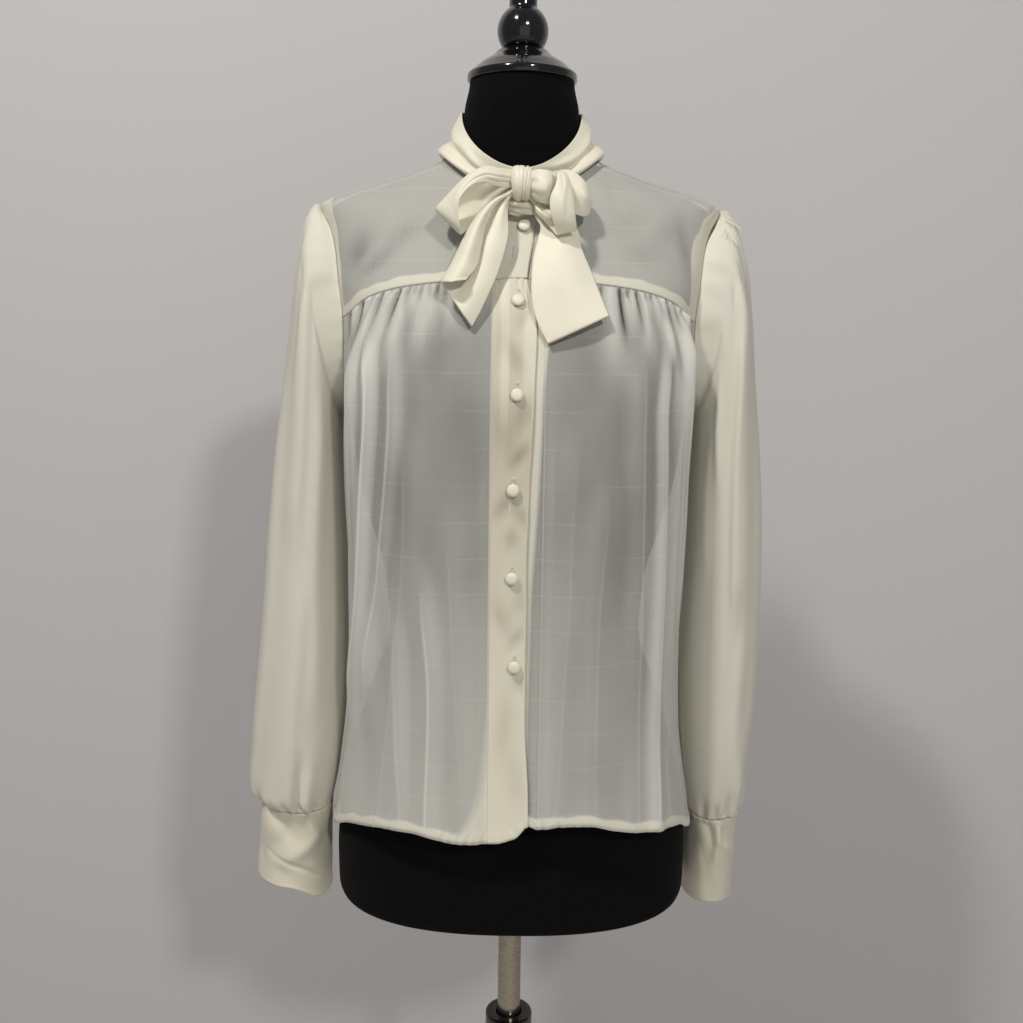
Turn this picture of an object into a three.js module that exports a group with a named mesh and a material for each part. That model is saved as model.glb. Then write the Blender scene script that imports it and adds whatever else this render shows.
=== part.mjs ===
// A sheer blouse with a tie neck, worn on a limbless dress form.
// Millimetres, +Z up. The origin is on the pole's axis at the floor and the front faces -Y.
// Right and left are the wearer's own, so the right side of the blouse is at -X.
import * as THREE from 'three'

const { Vector3, CatmullRomCurve3 } = THREE

// Cloth: walls, the gap left at every seam, how far one lapped layer stands off the next, and
// how far the sleeve, the cuff and the neckband stand off the cloth that they are sewn to.
const clothWall = 1.4
const doubledWall = 1.7
const cuffWall = 2
const seamGap = 0.4
const lapLift = 2.1
const restGap = 0.3
const sleeveStand = 1.6
const cuffGap = 0.7
const collarStand = 1.9

// Sections of the worn cloth at the middle of its wall: half width, depth to the front and to
// the back, and how square the section is, where 2 is an ellipse. The half width shrinks above
// the shoulder tip, so the ends of those sections draw the sloping shoulder seam.
const clothSections = [
  { z: 850, half: 167.5, front: 128, back: 124, square: 2.3 },
  { z: 900, half: 162.5, front: 127, back: 121, square: 2.3 },
  { z: 940, half: 156, front: 127, back: 118, square: 2.3 },
  { z: 985, half: 150.5, front: 128, back: 114, square: 2.3 },
  { z: 1085, half: 148, front: 130, back: 112, square: 2.35 },
  { z: 1175, half: 149, front: 132, back: 113, square: 2.4 },
  { z: 1265, half: 150, front: 129, back: 116, square: 2.6 },
  { z: 1310, half: 150.5, front: 118, back: 117, square: 2.8 },
  { z: 1337, half: 152.5, front: 107, back: 114, square: 2.9 },
  { z: 1362, half: 157, front: 95, back: 109, square: 3 },
  { z: 1404, half: 164, front: 75, back: 95, square: 2.8 },
  { z: 1426, half: 170, front: 64, back: 84, square: 2.5 },
  { z: 1436.5, half: 150, front: 57, back: 78, square: 2.3 },
  { z: 1445, half: 123, front: 52, back: 72, square: 2.2 },
  { z: 1455, half: 93, front: 48, back: 66, square: 2.2 },
  { z: 1465, half: 66, front: 46, back: 62, square: 2.2 },
  { z: 1475, half: 44, front: 44, back: 58, square: 2.2 },
]

// Sections of the dress form itself, measured the same way.
const formSections = [
  { z: 805, half: 151, front: 97, back: 95, square: 2.4 },
  { z: 809, half: 158, front: 104, back: 102, square: 2.4 },
  { z: 818, half: 161.5, front: 107.5, back: 107, square: 2.3 },
  { z: 850, half: 162, front: 107, back: 110, square: 2.3 },
  { z: 900, half: 158, front: 102, back: 112, square: 2.3 },
  { z: 950, half: 147, front: 96, back: 107, square: 2.3 },
  { z: 1005, half: 130, front: 90, back: 94, square: 2.2 },
  { z: 1060, half: 113, front: 86, back: 84, square: 2.2 },
  { z: 1110, half: 117, front: 90, back: 88, square: 2.2 },
  { z: 1160, half: 130, front: 99, back: 95, square: 2.3 },
  { z: 1210, half: 141, front: 108, back: 101, square: 2.4 },
  { z: 1260, half: 145, front: 108, back: 105, square: 2.5 },
  { z: 1310, half: 146, front: 98, back: 106, square: 2.6 },
  { z: 1350, half: 150, front: 84, back: 104, square: 2.7 },
  { z: 1390, half: 157, front: 70, back: 93, square: 2.7 },
  { z: 1421, half: 163, front: 59, back: 71, square: 2.4 },
  { z: 1434, half: 147, front: 51, back: 67, square: 2.2 },
  { z: 1443, half: 118.5, front: 47, back: 62, square: 2.1 },
  { z: 1453, half: 89, front: 45, back: 57, square: 2.1 },
  { z: 1463, half: 63, front: 45, back: 53, square: 2.1 },
  { z: 1478, half: 54.5, front: 47, back: 50, square: 2 },
  { z: 1492, half: 50.5, front: 47.6, back: 48.6, square: 2 },
  { z: 1508, half: 48.6, front: 47.8, back: 48, square: 2 },
  { z: 1529.6, half: 44.5, front: 44.5, back: 44.5, square: 2 },
]
const formSides = 32

// The bust of the form, and the cloth that hangs from it.
const bust = { x: 78, z: 1205, wide: 38, tall: 48, form: 9, cloth: 7, clothTall: 60, clothFall: 210 }

// Neck opening, armhole and yoke seam of the blouse.
const neckline = { half: 64, frontZ: 1424, sideZ: 1465, backZ: 1468, curve: 1.5 }
const armhole = { z: 1341, halfHeight: 85, halfDepth: 52 }
const yokeSeam = [
  { x: 0, z: 1364 },
  { x: 60, z: 1361 },
  { x: 92, z: 1357 },
  { x: 114, z: 1351.5 },
  { x: 126, z: 1346 },
  { x: 136, z: 1338 },
  { x: 145, z: 1333 },
]
const yokeEnd = 1333

// Hem heights from the wearer's right side to the left, by x, and the plain back hem.
const hemLine = [
  { x: -166, z: 877 },
  { x: -158, z: 883 },
  { x: -144, z: 895 },
  { x: -125, z: 903 },
  { x: -104, z: 909 },
  { x: -78, z: 911 },
  { x: -46, z: 905 },
  { x: -20, z: 905 },
  { x: 3, z: 911 },
  { x: 13, z: 921 },
  { x: 20, z: 918 },
  { x: 38, z: 922 },
  { x: 63, z: 921 },
  { x: 83, z: 914 },
  { x: 104, z: 908 },
  { x: 126, z: 904 },
  { x: 145, z: 897 },
  { x: 158, z: 884 },
  { x: 166, z: 877 },
]
const backHem = { side: 876, middle: 868 }

// The button band: its seams with the fronts, its edges and the lap between them.
const band = { seam: 20, overEdge: 13, underEdge: -6, lapStart: -19, lapFull: -9, neckEdge: 15, seamEdge: 6 }

// Gathers under the yoke, and the soft folds that they open into lower down.
const yokeGathers = { count: 14, rise: 2.2, full: 16, gone: 85 }
const frontFolds = {
  right: [
    { x: -138, lean: -0.02, rise: 5, wide: 10 },
    { x: -110, lean: -0.07, rise: 7, wide: 11 },
    { x: -76, lean: 0.01, rise: 8, wide: 14 },
    { x: -45, lean: 0.02, rise: 6, wide: 11 },
  ],
  left: [
    { x: 134, lean: -0.03, rise: 5, wide: 11 },
    { x: 103, lean: 0.02, rise: 7, wide: 12 },
    { x: 70, lean: -0.02, rise: 6, wide: 13 },
    { x: 44, lean: 0.01, rise: 7, wide: 9 },
  ],
}
const backFolds = [
  { x: -95, lean: -0.06, rise: 7, wide: 16 },
  { x: -40, lean: -0.03, rise: 6, wide: 15 },
  { x: 12, lean: 0.01, rise: 5, wide: 16 },
  { x: 62, lean: 0.04, rise: 7, wide: 15 },
  { x: 112, lean: 0.05, rise: 6, wide: 14 },
]

// Sleeves ring by ring from the armhole to the cuff: the points nearest and farthest from the
// body, where the ring sits front to back, and half its depth.
const sleeveRings = {
  right: [
    { innerX: 154, innerZ: 1251, outerX: 176, outerZ: 1424, y: 0, depth: 53.5 },
    { innerX: 154, innerZ: 1238, outerX: 184, outerZ: 1400, y: 0, depth: 56 },
    { innerX: 154, innerZ: 1214, outerX: 193, outerZ: 1350, y: 0, depth: 58 },
    { innerX: 153, innerZ: 1182, outerX: 202, outerZ: 1295, y: 0, depth: 58 },
    { innerX: 153, innerZ: 1142, outerX: 210.5, outerZ: 1228, y: 0, depth: 57 },
    { innerX: 153, innerZ: 1092, outerX: 219, outerZ: 1158, y: 0, depth: 56 },
    { innerX: 153, innerZ: 1036, outerX: 226, outerZ: 1083, y: -1, depth: 55 },
    { innerX: 155, innerZ: 982, outerX: 233.5, outerZ: 1010, y: -2, depth: 54 },
    { innerX: 160, innerZ: 936, outerX: 239, outerZ: 950, y: -3, depth: 52 },
    { innerX: 164, innerZ: 910, outerX: 241.5, outerZ: 918, y: -3, depth: 50 },
    { innerX: 167, innerZ: 896, outerX: 240, outerZ: 904, y: -4, depth: 46 },
    { innerX: 169, innerZ: 887, outerX: 232, outerZ: 895, y: -4, depth: 39 },
  ],
  left: [
    { innerX: 154, innerZ: 1251, outerX: 177, outerZ: 1423, y: 0, depth: 53.5 },
    { innerX: 154, innerZ: 1238, outerX: 187, outerZ: 1401, y: 1, depth: 56 },
    { innerX: 154, innerZ: 1214, outerX: 198, outerZ: 1352, y: 2, depth: 58 },
    { innerX: 153.5, innerZ: 1182, outerX: 206, outerZ: 1297, y: 3, depth: 58 },
    { innerX: 153.5, innerZ: 1142, outerX: 213, outerZ: 1230, y: 5, depth: 57 },
    { innerX: 153.5, innerZ: 1092, outerX: 220, outerZ: 1158, y: 7, depth: 56 },
    { innerX: 154, innerZ: 1036, outerX: 223.5, outerZ: 1083, y: 10, depth: 55 },
    { innerX: 156, innerZ: 980, outerX: 224.5, outerZ: 1004, y: 13, depth: 53 },
    { innerX: 160, innerZ: 928, outerX: 223, outerZ: 942, y: 16, depth: 50 },
    { innerX: 163, innerZ: 900, outerX: 221, outerZ: 908, y: 19, depth: 47 },
    { innerX: 165.5, innerZ: 886, outerX: 219, outerZ: 892, y: 21, depth: 44 },
    { innerX: 167, innerZ: 876, outerX: 215, outerZ: 880, y: 22, depth: 40 },
  ],
}
const sleeveSides = 28

// Rise of the gathers ring by ring, down from the armhole and up from the cuff. Those of the
// armhole lie over its top, between two angles from it, and what faces the body is calmer.
const capGathers = [0, 1.5, 2, 1.2, 0.4]
const cuffGathers = [0, 1.7, 2, 1.6, 0.9, 0.4]
const capGatherAngles = { full: 50, gone: 85 }
const nextToBody = { from: 110, full: 150, calm: 0.75 }

// Soft folds down a sleeve: where each starts round it and how far it turns on its way down.
// They grow over the first rings and are gone by the last.
const foldRings = { start: 1, full: 4, fade: 3 }
const sleeveFolds = [
  { angle: 40, turn: 14, rise: 3.4, wide: 13 },
  { angle: 95, turn: -10, rise: 2.6, wide: 12 },
  { angle: 320, turn: 8, rise: 3.2, wide: 13 },
  { angle: 262, turn: 12, rise: 2.4, wide: 13 },
]

// Cuffs: the lower edge of each, and where the lap and its button sit round the wrist.
const cuffs = {
  right: { innerX: 171, innerZ: 803, outerX: 238, outerZ: 817, y: -4, depth: 38 },
  left: { innerX: 167, innerZ: 788, outerX: 213, outerZ: 791, y: 25, depth: 41 },
}
const cuffLap = { start: -28, lap: 18, rampFrom: 26, rampTo: 3, lift: 2.6, buttonDrop: 0.2 }

// Neckband: its upper edge and its profile from the seam upward. Out is how far the cloth
// stands off a straight line between the edges: a soft roll, a crease, then the upright part.
// The roll is least at the front ends and full from an angle round the neck. The knot pulls the
// ends forward.
const bandTop = { half: 50.8, front: 76, back: 50.8, frontZ: 1450, sideZ: 1506, backZ: 1511, curve: 0.85 }
const bandRoll = { least: 0.25, from: 10, full: 60 }
const bandPull = { forward: 5, gone: 26, fullUp: 0.5 }
const bandProfile = [
  { up: 0, out: 0 },
  { up: 0.1, out: 6 },
  { up: 0.22, out: 5.5 },
  { up: 0.35, out: -1.2 },
  { up: 0.56, out: 1.6 },
  { up: 0.8, out: 0.8 },
  { up: 1, out: 0 },
]
const bandEndAngle = 9

// Buttons down the front and their size, and how far those of the cuffs stand off the lap.
const cuffButtonStand = { right: 0.8, left: 0.1 }
const button = { radius: 5.1, base: 4.3, rim: 1.5, shoulder: 3.4, shoulderZ: 3.1, height: 3.7 }
const frontButtons = [
  { x: 3, z: 1405 },
  { x: -1, z: 1346 },
  { x: -1, z: 1275 },
  { x: -3, z: 1202 },
  { x: -3, z: 1132 },
  { x: 0, z: 1059 },
]

// The stand.
const base = { radius: 170, height: 20, bevel: 5 }
const column = { radius: 22.5, top: 669, bore: 11.8, boreFloor: 300, lip: 2.5 }
const pole = { radius: 11, bottom: 380 }
const formBottom = formSections[0].z
const formTop = formSections[formSections.length - 1].z

// The neck cap from its foot upward, and the ball with the small flare on top of it.
const capZ = formTop + restGap
const cap = [
  { radius: 46.5, up: 0 },
  { radius: 46.5, up: 5.5 },
  { radius: 44, up: 7.5 },
  { radius: 36.1, up: 14.5 },
  { radius: 25.7, up: 21 },
  { radius: 20.5, up: 26 },
]
const finialZ = capZ + cap[cap.length - 1].up + restGap
const ball = { radius: 21.6, z: 1571, levels: [finialZ, 1562, 1571, 1579, 1585, 1589] }
const flare = [
  { radius: 11.8, z: 1593 },
  { radius: 13, z: 1602 },
  { radius: 14, z: 1604 },
  { radius: 11, z: 1614.8 },
  { radius: 0, z: 1622 },
]

const materials = {
  sheer: new THREE.MeshStandardMaterial({ color: 0xc9cac2, roughness: 0.6, metalness: 0 }),
  doubled: new THREE.MeshStandardMaterial({ color: 0xe8e4d3, roughness: 0.55, metalness: 0 }),
  jersey: new THREE.MeshStandardMaterial({ color: 0x0c0c0e, roughness: 0.9, metalness: 0 }),
  gloss: new THREE.MeshStandardMaterial({ color: 0x050505, roughness: 0.15, metalness: 0 }),
  nickel: new THREE.MeshStandardMaterial({ color: 0xb8b2a4, roughness: 0.25, metalness: 1 }),
}

const smooth = (from, to, value) => THREE.MathUtils.smoothstep(value, from, to)
const degrees = THREE.MathUtils.degToRad
const bell = (offset, wide) => Math.exp(-0.5 * (offset / wide) ** 2)

// Slope of a table's column at a row, flat where the column turns back, so that the curve
// through the rows never swings past them.
function slopeAt(table, key, by, row) {
  if (row === 0 || row === table.length - 1) return 0
  const before = (table[row][key] - table[row - 1][key]) / (table[row][by] - table[row - 1][by])
  const after = (table[row + 1][key] - table[row][key]) / (table[row + 1][by] - table[row][by])
  return before * after <= 0 ? 0 : (2 * before * after) / (before + after)
}

// A column of a table at any value between its rows, on a cubic through them.
function valueAt(table, key, by, value) {
  const clamped = THREE.MathUtils.clamp(value, table[0][by], table[table.length - 1][by])
  let row = 0
  while (row < table.length - 2 && table[row + 1][by] < clamped) row += 1
  const span = table[row + 1][by] - table[row][by]
  const t = (clamped - table[row][by]) / span
  const from = slopeAt(table, key, by, row) * span
  const to = slopeAt(table, key, by, row + 1) * span
  const a = table[row][key]
  const b = table[row + 1][key]
  return a + from * t + (3 * (b - a) - 2 * from - to) * t * t + (2 * (a - b) + from + to) * t ** 3
}

// The section of a table at one height.
function sectionAt(table, z) {
  const section = {}
  for (const key of ['half', 'front', 'back', 'square']) section[key] = valueAt(table, key, 'z', z)
  return section
}

// How far outside the worn surface a point is: 0 on it, below 0 inside.
function outside(point) {
  const { half, front, back, square } = sectionAt(clothSections, point.z)
  const depth = point.y < 0 ? front : back
  return Math.abs(point.x / half) ** square + Math.abs(point.y / depth) ** square - 1
}

function steepest(point) {
  const step = 0.05
  const slope = new Vector3()
  for (const axis of ['x', 'y', 'z']) {
    const ahead = point.clone()
    const behind = point.clone()
    ahead[axis] += step
    behind[axis] -= step
    slope[axis] = (outside(ahead) - outside(behind)) / (2 * step)
  }
  return slope
}

const bodyNormal = (point) => steepest(point).normalize()

// Moves a point straight onto the worn surface.
function ontoBody(point) {
  const moved = point.clone()
  for (let pass = 0; pass < 8; pass += 1) {
    const slope = steepest(moved)
    moved.addScaledVector(slope, -outside(moved) / slope.lengthSq())
  }
  return moved
}

// Points of the worn surface: seen from the front or the back by x and z, or from the side by
// y and z.
function onFace(x, z, facing) {
  const { half, front, back, square } = sectionAt(clothSections, z)
  const depth = facing < 0 ? front : back
  const rest = Math.max(0, 1 - Math.abs(x / half) ** square)
  return new Vector3(x, facing * depth * rest ** (1 / square), z)
}

function onSide(y, z, side) {
  const { half, front, back, square } = sectionAt(clothSections, z)
  const depth = y < 0 ? front : back
  return new Vector3(side * half * (1 - Math.abs(y / depth) ** square) ** (1 / square), y, z)
}

// The armhole, by the angle from the shoulder tip: 90 is its front, 180 the underarm.
function armholePoint(side, angle) {
  const y = -armhole.halfDepth * Math.sin(degrees(angle))
  const z = armhole.z + armhole.halfHeight * Math.cos(degrees(angle))
  return onSide(y, z, side)
}

const tipAngle = (Math.asin(seamGap / 2 / armhole.halfDepth) * 180) / Math.PI
const armholeAngleAt = (z) => (Math.acos((z - armhole.z) / armhole.halfHeight) * 180) / Math.PI

// The neckline, by the angle from the centre front: 90 is the shoulder, 180 the centre back.
function necklinePoint(side, angle) {
  const x = side * neckline.half * Math.sin(degrees(angle))
  const rise = Math.abs(Math.sin(degrees(angle))) ** neckline.curve
  if (angle <= 90) {
    return onFace(x, neckline.frontZ + (neckline.sideZ - neckline.frontZ) * rise, -1)
  }
  return onFace(x, neckline.backZ + (neckline.sideZ - neckline.backZ) * rise, 1)
}

// Points along a function of 0 to 1, at even steps of its length.
const samples = 48
function evenly(curve, steps) {
  const fine = Array.from({ length: samples + 1 }, (_, i) => curve(i / samples))
  const line = new CatmullRomCurve3(fine, false, 'centripetal')
  line.arcLengthDivisions = 400
  return Array.from({ length: steps + 1 }, (_, i) => {
    if (i === 0) return fine[0].clone()
    if (i === steps) return fine[samples].clone()
    return line.getPointAt(i / steps)
  })
}

// Points along a function of 0 to 1, at chosen fractions.
const atFractions = (curve, fractions) => fractions.map((fraction) => curve(fraction))

const chain = (...pieces) => pieces.reduce((line, piece) => line.concat(piece.slice(1)))

const mix = (a, b, t) => a + (b - a) * t
const between = (a, b, t) => a.clone().lerp(b, t)

// A surface is a list of points, a list of their normals and a list of triangles.
function meshGrid(rows, columns, wrap = false) {
  const faces = []
  const width = wrap ? columns : columns + 1
  for (let r = 0; r < rows; r += 1) {
    for (let c = 0; c < columns; c += 1) {
      const next = (c + 1) % width
      const a = r * width + c
      const b = r * width + next
      const d = a + width
      const e = b + width
      faces.push([a, b, e], [a, e, d])
    }
  }
  return faces
}

// Normals of a surface from its own triangles.
function meshNormals(points, faces) {
  const normals = points.map(() => new Vector3())
  for (const [a, b, c] of faces) {
    const ab = points[b].clone().sub(points[a])
    const ac = points[c].clone().sub(points[a])
    const area = ab.cross(ac)
    for (const corner of [a, b, c]) normals[corner].add(area)
  }
  return normals.map((normal) => normal.normalize())
}

// Joins surfaces that share points along a line.
function weld(surfaces) {
  const points = []
  const faces = []
  const known = new Map()
  for (const surface of surfaces) {
    const places = surface.points.map((point) => {
      const key = point.toArray().map((value) => value.toFixed(2)).join(' ')
      if (!known.has(key)) {
        known.set(key, points.length)
        points.push(point)
      }
      return known.get(key)
    })
    for (const face of surface.faces) faces.push(face.map((corner) => places[corner]))
  }
  return { points, faces }
}

// A closed wall round a surface: it stands out by half the wall on each side of it, with the
// edges closed. Lift moves a point out along its normal first.
function wall(points, normals, faces, thickness, lift = () => 0) {
  const count = points.length
  const places = []
  for (const half of [thickness / 2, -thickness / 2]) {
    points.forEach((point, i) => {
      places.push(...point.clone().addScaledVector(normals[i], lift(point, i) + half).toArray())
    })
  }
  const facing = faces.reduce((sum, [a, b, c]) => {
    const ab = points[b].clone().sub(points[a])
    const ac = points[c].clone().sub(points[a])
    return sum + ab.cross(ac).dot(normals[a])
  }, 0)
  const turned = facing < 0 ? faces.map(([a, b, c]) => [a, c, b]) : faces
  const index = []
  const edges = new Set(turned.flatMap(([a, b, c]) => [`${a} ${b}`, `${b} ${c}`, `${c} ${a}`]))
  for (const [a, b, c] of turned) {
    index.push(a, b, c, a + count, c + count, b + count)
    for (const [from, to] of [[a, b], [b, c], [c, a]]) {
      if (edges.has(`${to} ${from}`)) continue
      index.push(to, from, from + count, to, from + count, to + count)
    }
  }
  const geometry = new THREE.BufferGeometry()
  geometry.setAttribute('position', new THREE.Float32BufferAttribute(places, 3))
  geometry.setIndex(index)
  geometry.computeVertexNormals()
  return geometry
}

// A patch stretched between four edges and laid onto the worn surface. The top and bottom run
// from left to right, the left and right edges run from top to bottom.
function bodyPatch(top, bottom, left, right) {
  const points = []
  const rows = left.length - 1
  const columns = top.length - 1
  for (let r = 0; r <= rows; r += 1) {
    const down = left[0].distanceTo(left[r]) / left[0].distanceTo(left[rows])
    for (let c = 0; c <= columns; c += 1) {
      if (r === 0 || r === rows || c === 0 || c === columns) {
        const edge = r === 0 ? top[c] : r === rows ? bottom[c] : c === 0 ? left[r] : right[r]
        points.push(edge.clone())
        continue
      }
      const over = c / columns
      const along = between(top[c], bottom[c], down).add(between(left[r], right[r], over))
      const ends = between(top[0], top[columns], over)
      ends.lerp(between(bottom[0], bottom[columns], over), down)
      points.push(ontoBody(along.sub(ends)))
    }
  }
  return { points, faces: meshGrid(rows, columns) }
}

const bodyWall = (surface, thickness, lift) =>
  wall(surface.points, surface.points.map(bodyNormal), surface.faces, thickness, lift)

// The cloth that hangs over the bust.
function bustLift(point) {
  if (point.y > 0) return 0
  const tall = point.z > bust.z ? bust.clothTall : bust.clothFall
  const across = bell(Math.abs(point.x) - bust.x, bust.wide)
  return bust.cloth * across * bell(point.z - bust.z, tall)
}

// Outward rise of soft hanging folds, each a ridge that leans as it falls.
const foldOpening = { from: 20, full: 190 }
function foldLift(folds, point, startZ) {
  const fall = startZ - point.z
  const opened = smooth(foldOpening.from, foldOpening.full, fall)
  return folds.reduce((sum, fold) => {
    return sum + fold.rise * opened * bell(point.x - fold.x - fold.lean * fall, fold.wide)
  }, 0)
}

// Keeps a lift away from the side seams, where front and back meet, and from the button band.
const bandEase = 10
const sideEase = { from: 9, full: 1.5 }
function awayFromSeams(point) {
  const { half } = sectionAt(clothSections, point.z)
  const fromBand = smooth(band.seam, band.seam + bandEase, Math.abs(point.x))
  const toSide = smooth(half - sideEase.from, half - sideEase.full, Math.abs(point.x))
  return (point.y < 0 ? fromBand : 1) * (1 - toSide)
}

const frontRows = [0, 0.02, 0.05, 0.09, 0.15, 0.24, 0.36, 0.5, 0.66, 0.83, 1]
const hemZ = (x) => valueAt(hemLine, 'z', 'x', x)
const seamZ = (x) => valueAt(yokeSeam, 'z', 'x', Math.abs(x))

// The front of one side: from the yoke seam and the lower armhole down to the hem.
function frontPanel(side, folds) {
  const seamSteps = yokeGathers.count * 2
  const armholeSteps = 5
  const topZ = yokeEnd - seamGap / 2
  const turn = armholeAngleAt(topZ)
  const junction = armholePoint(side, turn)
  const seamStart = side * (band.seam + seamGap / 2)
  const seam = evenly((t) => {
    const x = mix(seamStart, junction.x, t)
    return onFace(x, seamZ(x) - seamGap / 2, -1)
  }, seamSteps)
  seam[seamSteps] = junction
  const lower = evenly((t) => armholePoint(side, mix(turn, 180 - tipAngle, t)), armholeSteps)
  const top = chain(seam, lower)
  const sideTop = top[top.length - 1]
  const sideBottom = onSide(-seamGap / 2, backHem.side, side)
  const right = atFractions((t) => onSide(-seamGap / 2, mix(sideTop.z, sideBottom.z, t), side), frontRows)
  const left = atFractions((t) => {
    return onFace(seamStart, mix(seam[0].z, hemZ(seamStart), t), -1)
  }, frontRows)
  const hemEnd = sideBottom.x
  const bottom = evenly((t) => {
    const across = Math.sin((Math.PI / 2) * t)
    const x = mix(seamStart, hemEnd, across)
    return t === 1 ? sideBottom.clone() : onFace(x, hemZ(x), -1)
  }, top.length - 1)
  const surface = bodyPatch(top, bottom, left, right)
  const columns = top.length
  const lift = (point, i) => {
    const place = i % columns
    const fall = top[Math.min(place, seamSteps)].z - point.z
    const gather = smooth(0, yokeGathers.full, fall) * (1 - smooth(yokeGathers.full, yokeGathers.gone, fall))
    const inGathers = place > 0 && place < seamSteps ? 1 : 0
    const wave = (place % 2 === 0 ? -1 : 1) * yokeGathers.rise * gather * inGathers
    return wave + awayFromSeams(point) * (bustLift(point) + foldLift(folds, point, yokeEnd))
  }
  return bodyWall(surface, clothWall, lift)
}

// How far the outer band and the yoke over it stand off the layer below, near the front edge,
// and how far the neckband stands off that lap.
const lapRise = (point) => lapLift * smooth(band.lapStart, band.lapFull, point.x)
const overLap = (point) => lapRise(point) * (1 - smooth(band.neckEdge + 1, band.neckEdge + 11, point.x))
const yokeRows = [0, 0.2, 0.4, 0.58, 0.74, 0.87, 0.95, 1]

// One front yoke: neckline and shoulder seam above, yoke seam below.
function yoke(side, edgeAtNeck, edgeAtSeam, lift) {
  const neckSteps = 7
  const shoulderSteps = 7
  const bottomZ = yokeEnd + seamGap / 2
  const turn = armholeAngleAt(bottomZ)
  const junction = armholePoint(side, turn)
  const edgeAngle = (Math.asin((side * edgeAtNeck) / neckline.half) * 180) / Math.PI
  const neck = evenly((t) => {
    const point = necklinePoint(side, mix(edgeAngle, 90, t))
    return point.y > -seamGap / 2 ? onSide(-seamGap / 2, point.z, side) : point
  }, neckSteps)
  const tip = armholePoint(side, tipAngle)
  const shoulder = evenly((t) => {
    return onSide(-seamGap / 2, mix(neck[neckSteps].z, tip.z, t), side)
  }, shoulderSteps)
  const top = chain(neck, shoulder)
  const bottom = evenly((t) => {
    const x = mix(edgeAtSeam, junction.x, t)
    return onFace(x, seamZ(x) + seamGap / 2, -1)
  }, top.length - 1)
  bottom[bottom.length - 1] = junction
  const flipped = yokeRows.map((row) => 1 - row).reverse()
  const right = atFractions((t) => armholePoint(side, mix(tipAngle, turn, t)), flipped)
  const left = atFractions((t) => {
    const x = mix(edgeAtNeck, edgeAtSeam, t)
    return onFace(x, mix(neck[0].z, bottom[0].z, t), -1)
  }, flipped)
  return bodyWall(bodyPatch(top, bottom, left, right), clothWall, lift)
}

// Where the back folds start, and where they are kept off the armholes.
const backFoldTop = 1400
const backArmhole = { fromX: 120, fullX: 146, fromZ: 1200, fullZ: 1280 }

// The whole back in one piece: a lower part between the side seams and an upper part between
// the armholes, joined along the level where the yoke seams end at the front.
function backPanel() {
  const acrossSteps = 18
  const armholeSteps = 5
  const justBehind = 90.01
  const turn = 360 - armholeAngleAt(yokeEnd)
  const corner = (side) => armholePoint(side, turn)
  const level = evenly((t) => onFace(mix(corner(-1).x, corner(1).x, t), yokeEnd, 1), acrossSteps)
  level[0] = corner(-1)
  level[acrossSteps] = corner(1)
  const underarm = (side) => evenly((t) => armholePoint(side, mix(180 + tipAngle, turn, t)), armholeSteps)
  const lowerTop = chain(underarm(-1), level, underarm(1).reverse())
  const fractions = [0, 0.08, 0.18, 0.3, 0.45, 0.62, 0.8, 1]
  const seamSide = (side) => {
    const start = underarm(side)[0]
    return atFractions((t) => onSide(seamGap / 2, mix(start.z, backHem.side, t), side), fractions)
  }
  const hemEnd = onSide(seamGap / 2, backHem.side, 1).x
  const lowerBottom = evenly((t) => {
    const turned = Math.cos(Math.PI * t)
    const z = mix(backHem.middle, backHem.side, turned * turned)
    return t === 0 || t === 1 ? onSide(seamGap / 2, backHem.side, t ? 1 : -1) : onFace(-hemEnd * turned, z, 1)
  }, lowerTop.length - 1)
  const lower = bodyPatch(lowerTop, lowerBottom, seamSide(-1), seamSide(1))

  const neck = (side) => evenly((t) => {
    const point = necklinePoint(side, mix(justBehind, 180, t))
    return point.y < seamGap / 2 ? onSide(seamGap / 2, point.z, side) : point
  }, 4)
  const shoulder = (side) => {
    const from = armholePoint(side, 360 - tipAngle)
    const to = neck(side)[0]
    return evenly((t) => onSide(seamGap / 2, mix(from.z, to.z, t), side), 5)
  }
  const top = chain(shoulder(-1), neck(-1), neck(1).reverse(), shoulder(1).reverse())
  const rise = [0, 0.06, 0.16, 0.3, 0.5, 0.74, 1]
  const edge = (side) => atFractions((t) => armholePoint(side, mix(360 - tipAngle, turn, t)), rise)
  const upper = bodyPatch(top, level, edge(-1), edge(1))
  const surface = weld([upper, lower])
  const lift = (point) => {
    const beside = smooth(backArmhole.fromX, backArmhole.fullX, Math.abs(point.x))
    const armholes = 1 - beside * smooth(backArmhole.fromZ, backArmhole.fullZ, point.z)
    return awayFromSeams(point) * armholes * foldLift(backFolds, point, backFoldTop)
  }
  return bodyWall(surface, clothWall, lift)
}

// One half of the button band below the yoke, between two edges given by x. Its free edge moves
// to its full width within a first part of its length.
const bandWidens = 0.08
function buttonBand(fromX, toX, toXAtTop, lift) {
  const fractions = [0, 0.04, 0.1, 0.2, 0.32, 0.46, 0.6, 0.74, 0.88, 1]
  const columns = 4
  const points = fractions.flatMap((down) => {
    const edge = mix(toXAtTop, toX, smooth(0, bandWidens, down))
    return Array.from({ length: columns + 1 }, (_, c) => {
      const x = mix(fromX, edge, c / columns)
      return onFace(x, mix(seamZ(x) - seamGap / 2, hemZ(x), down), -1)
    })
  })
  const surface = { points, faces: meshGrid(fractions.length - 1, columns) }
  return bodyWall(surface, clothWall, lift)
}

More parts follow.
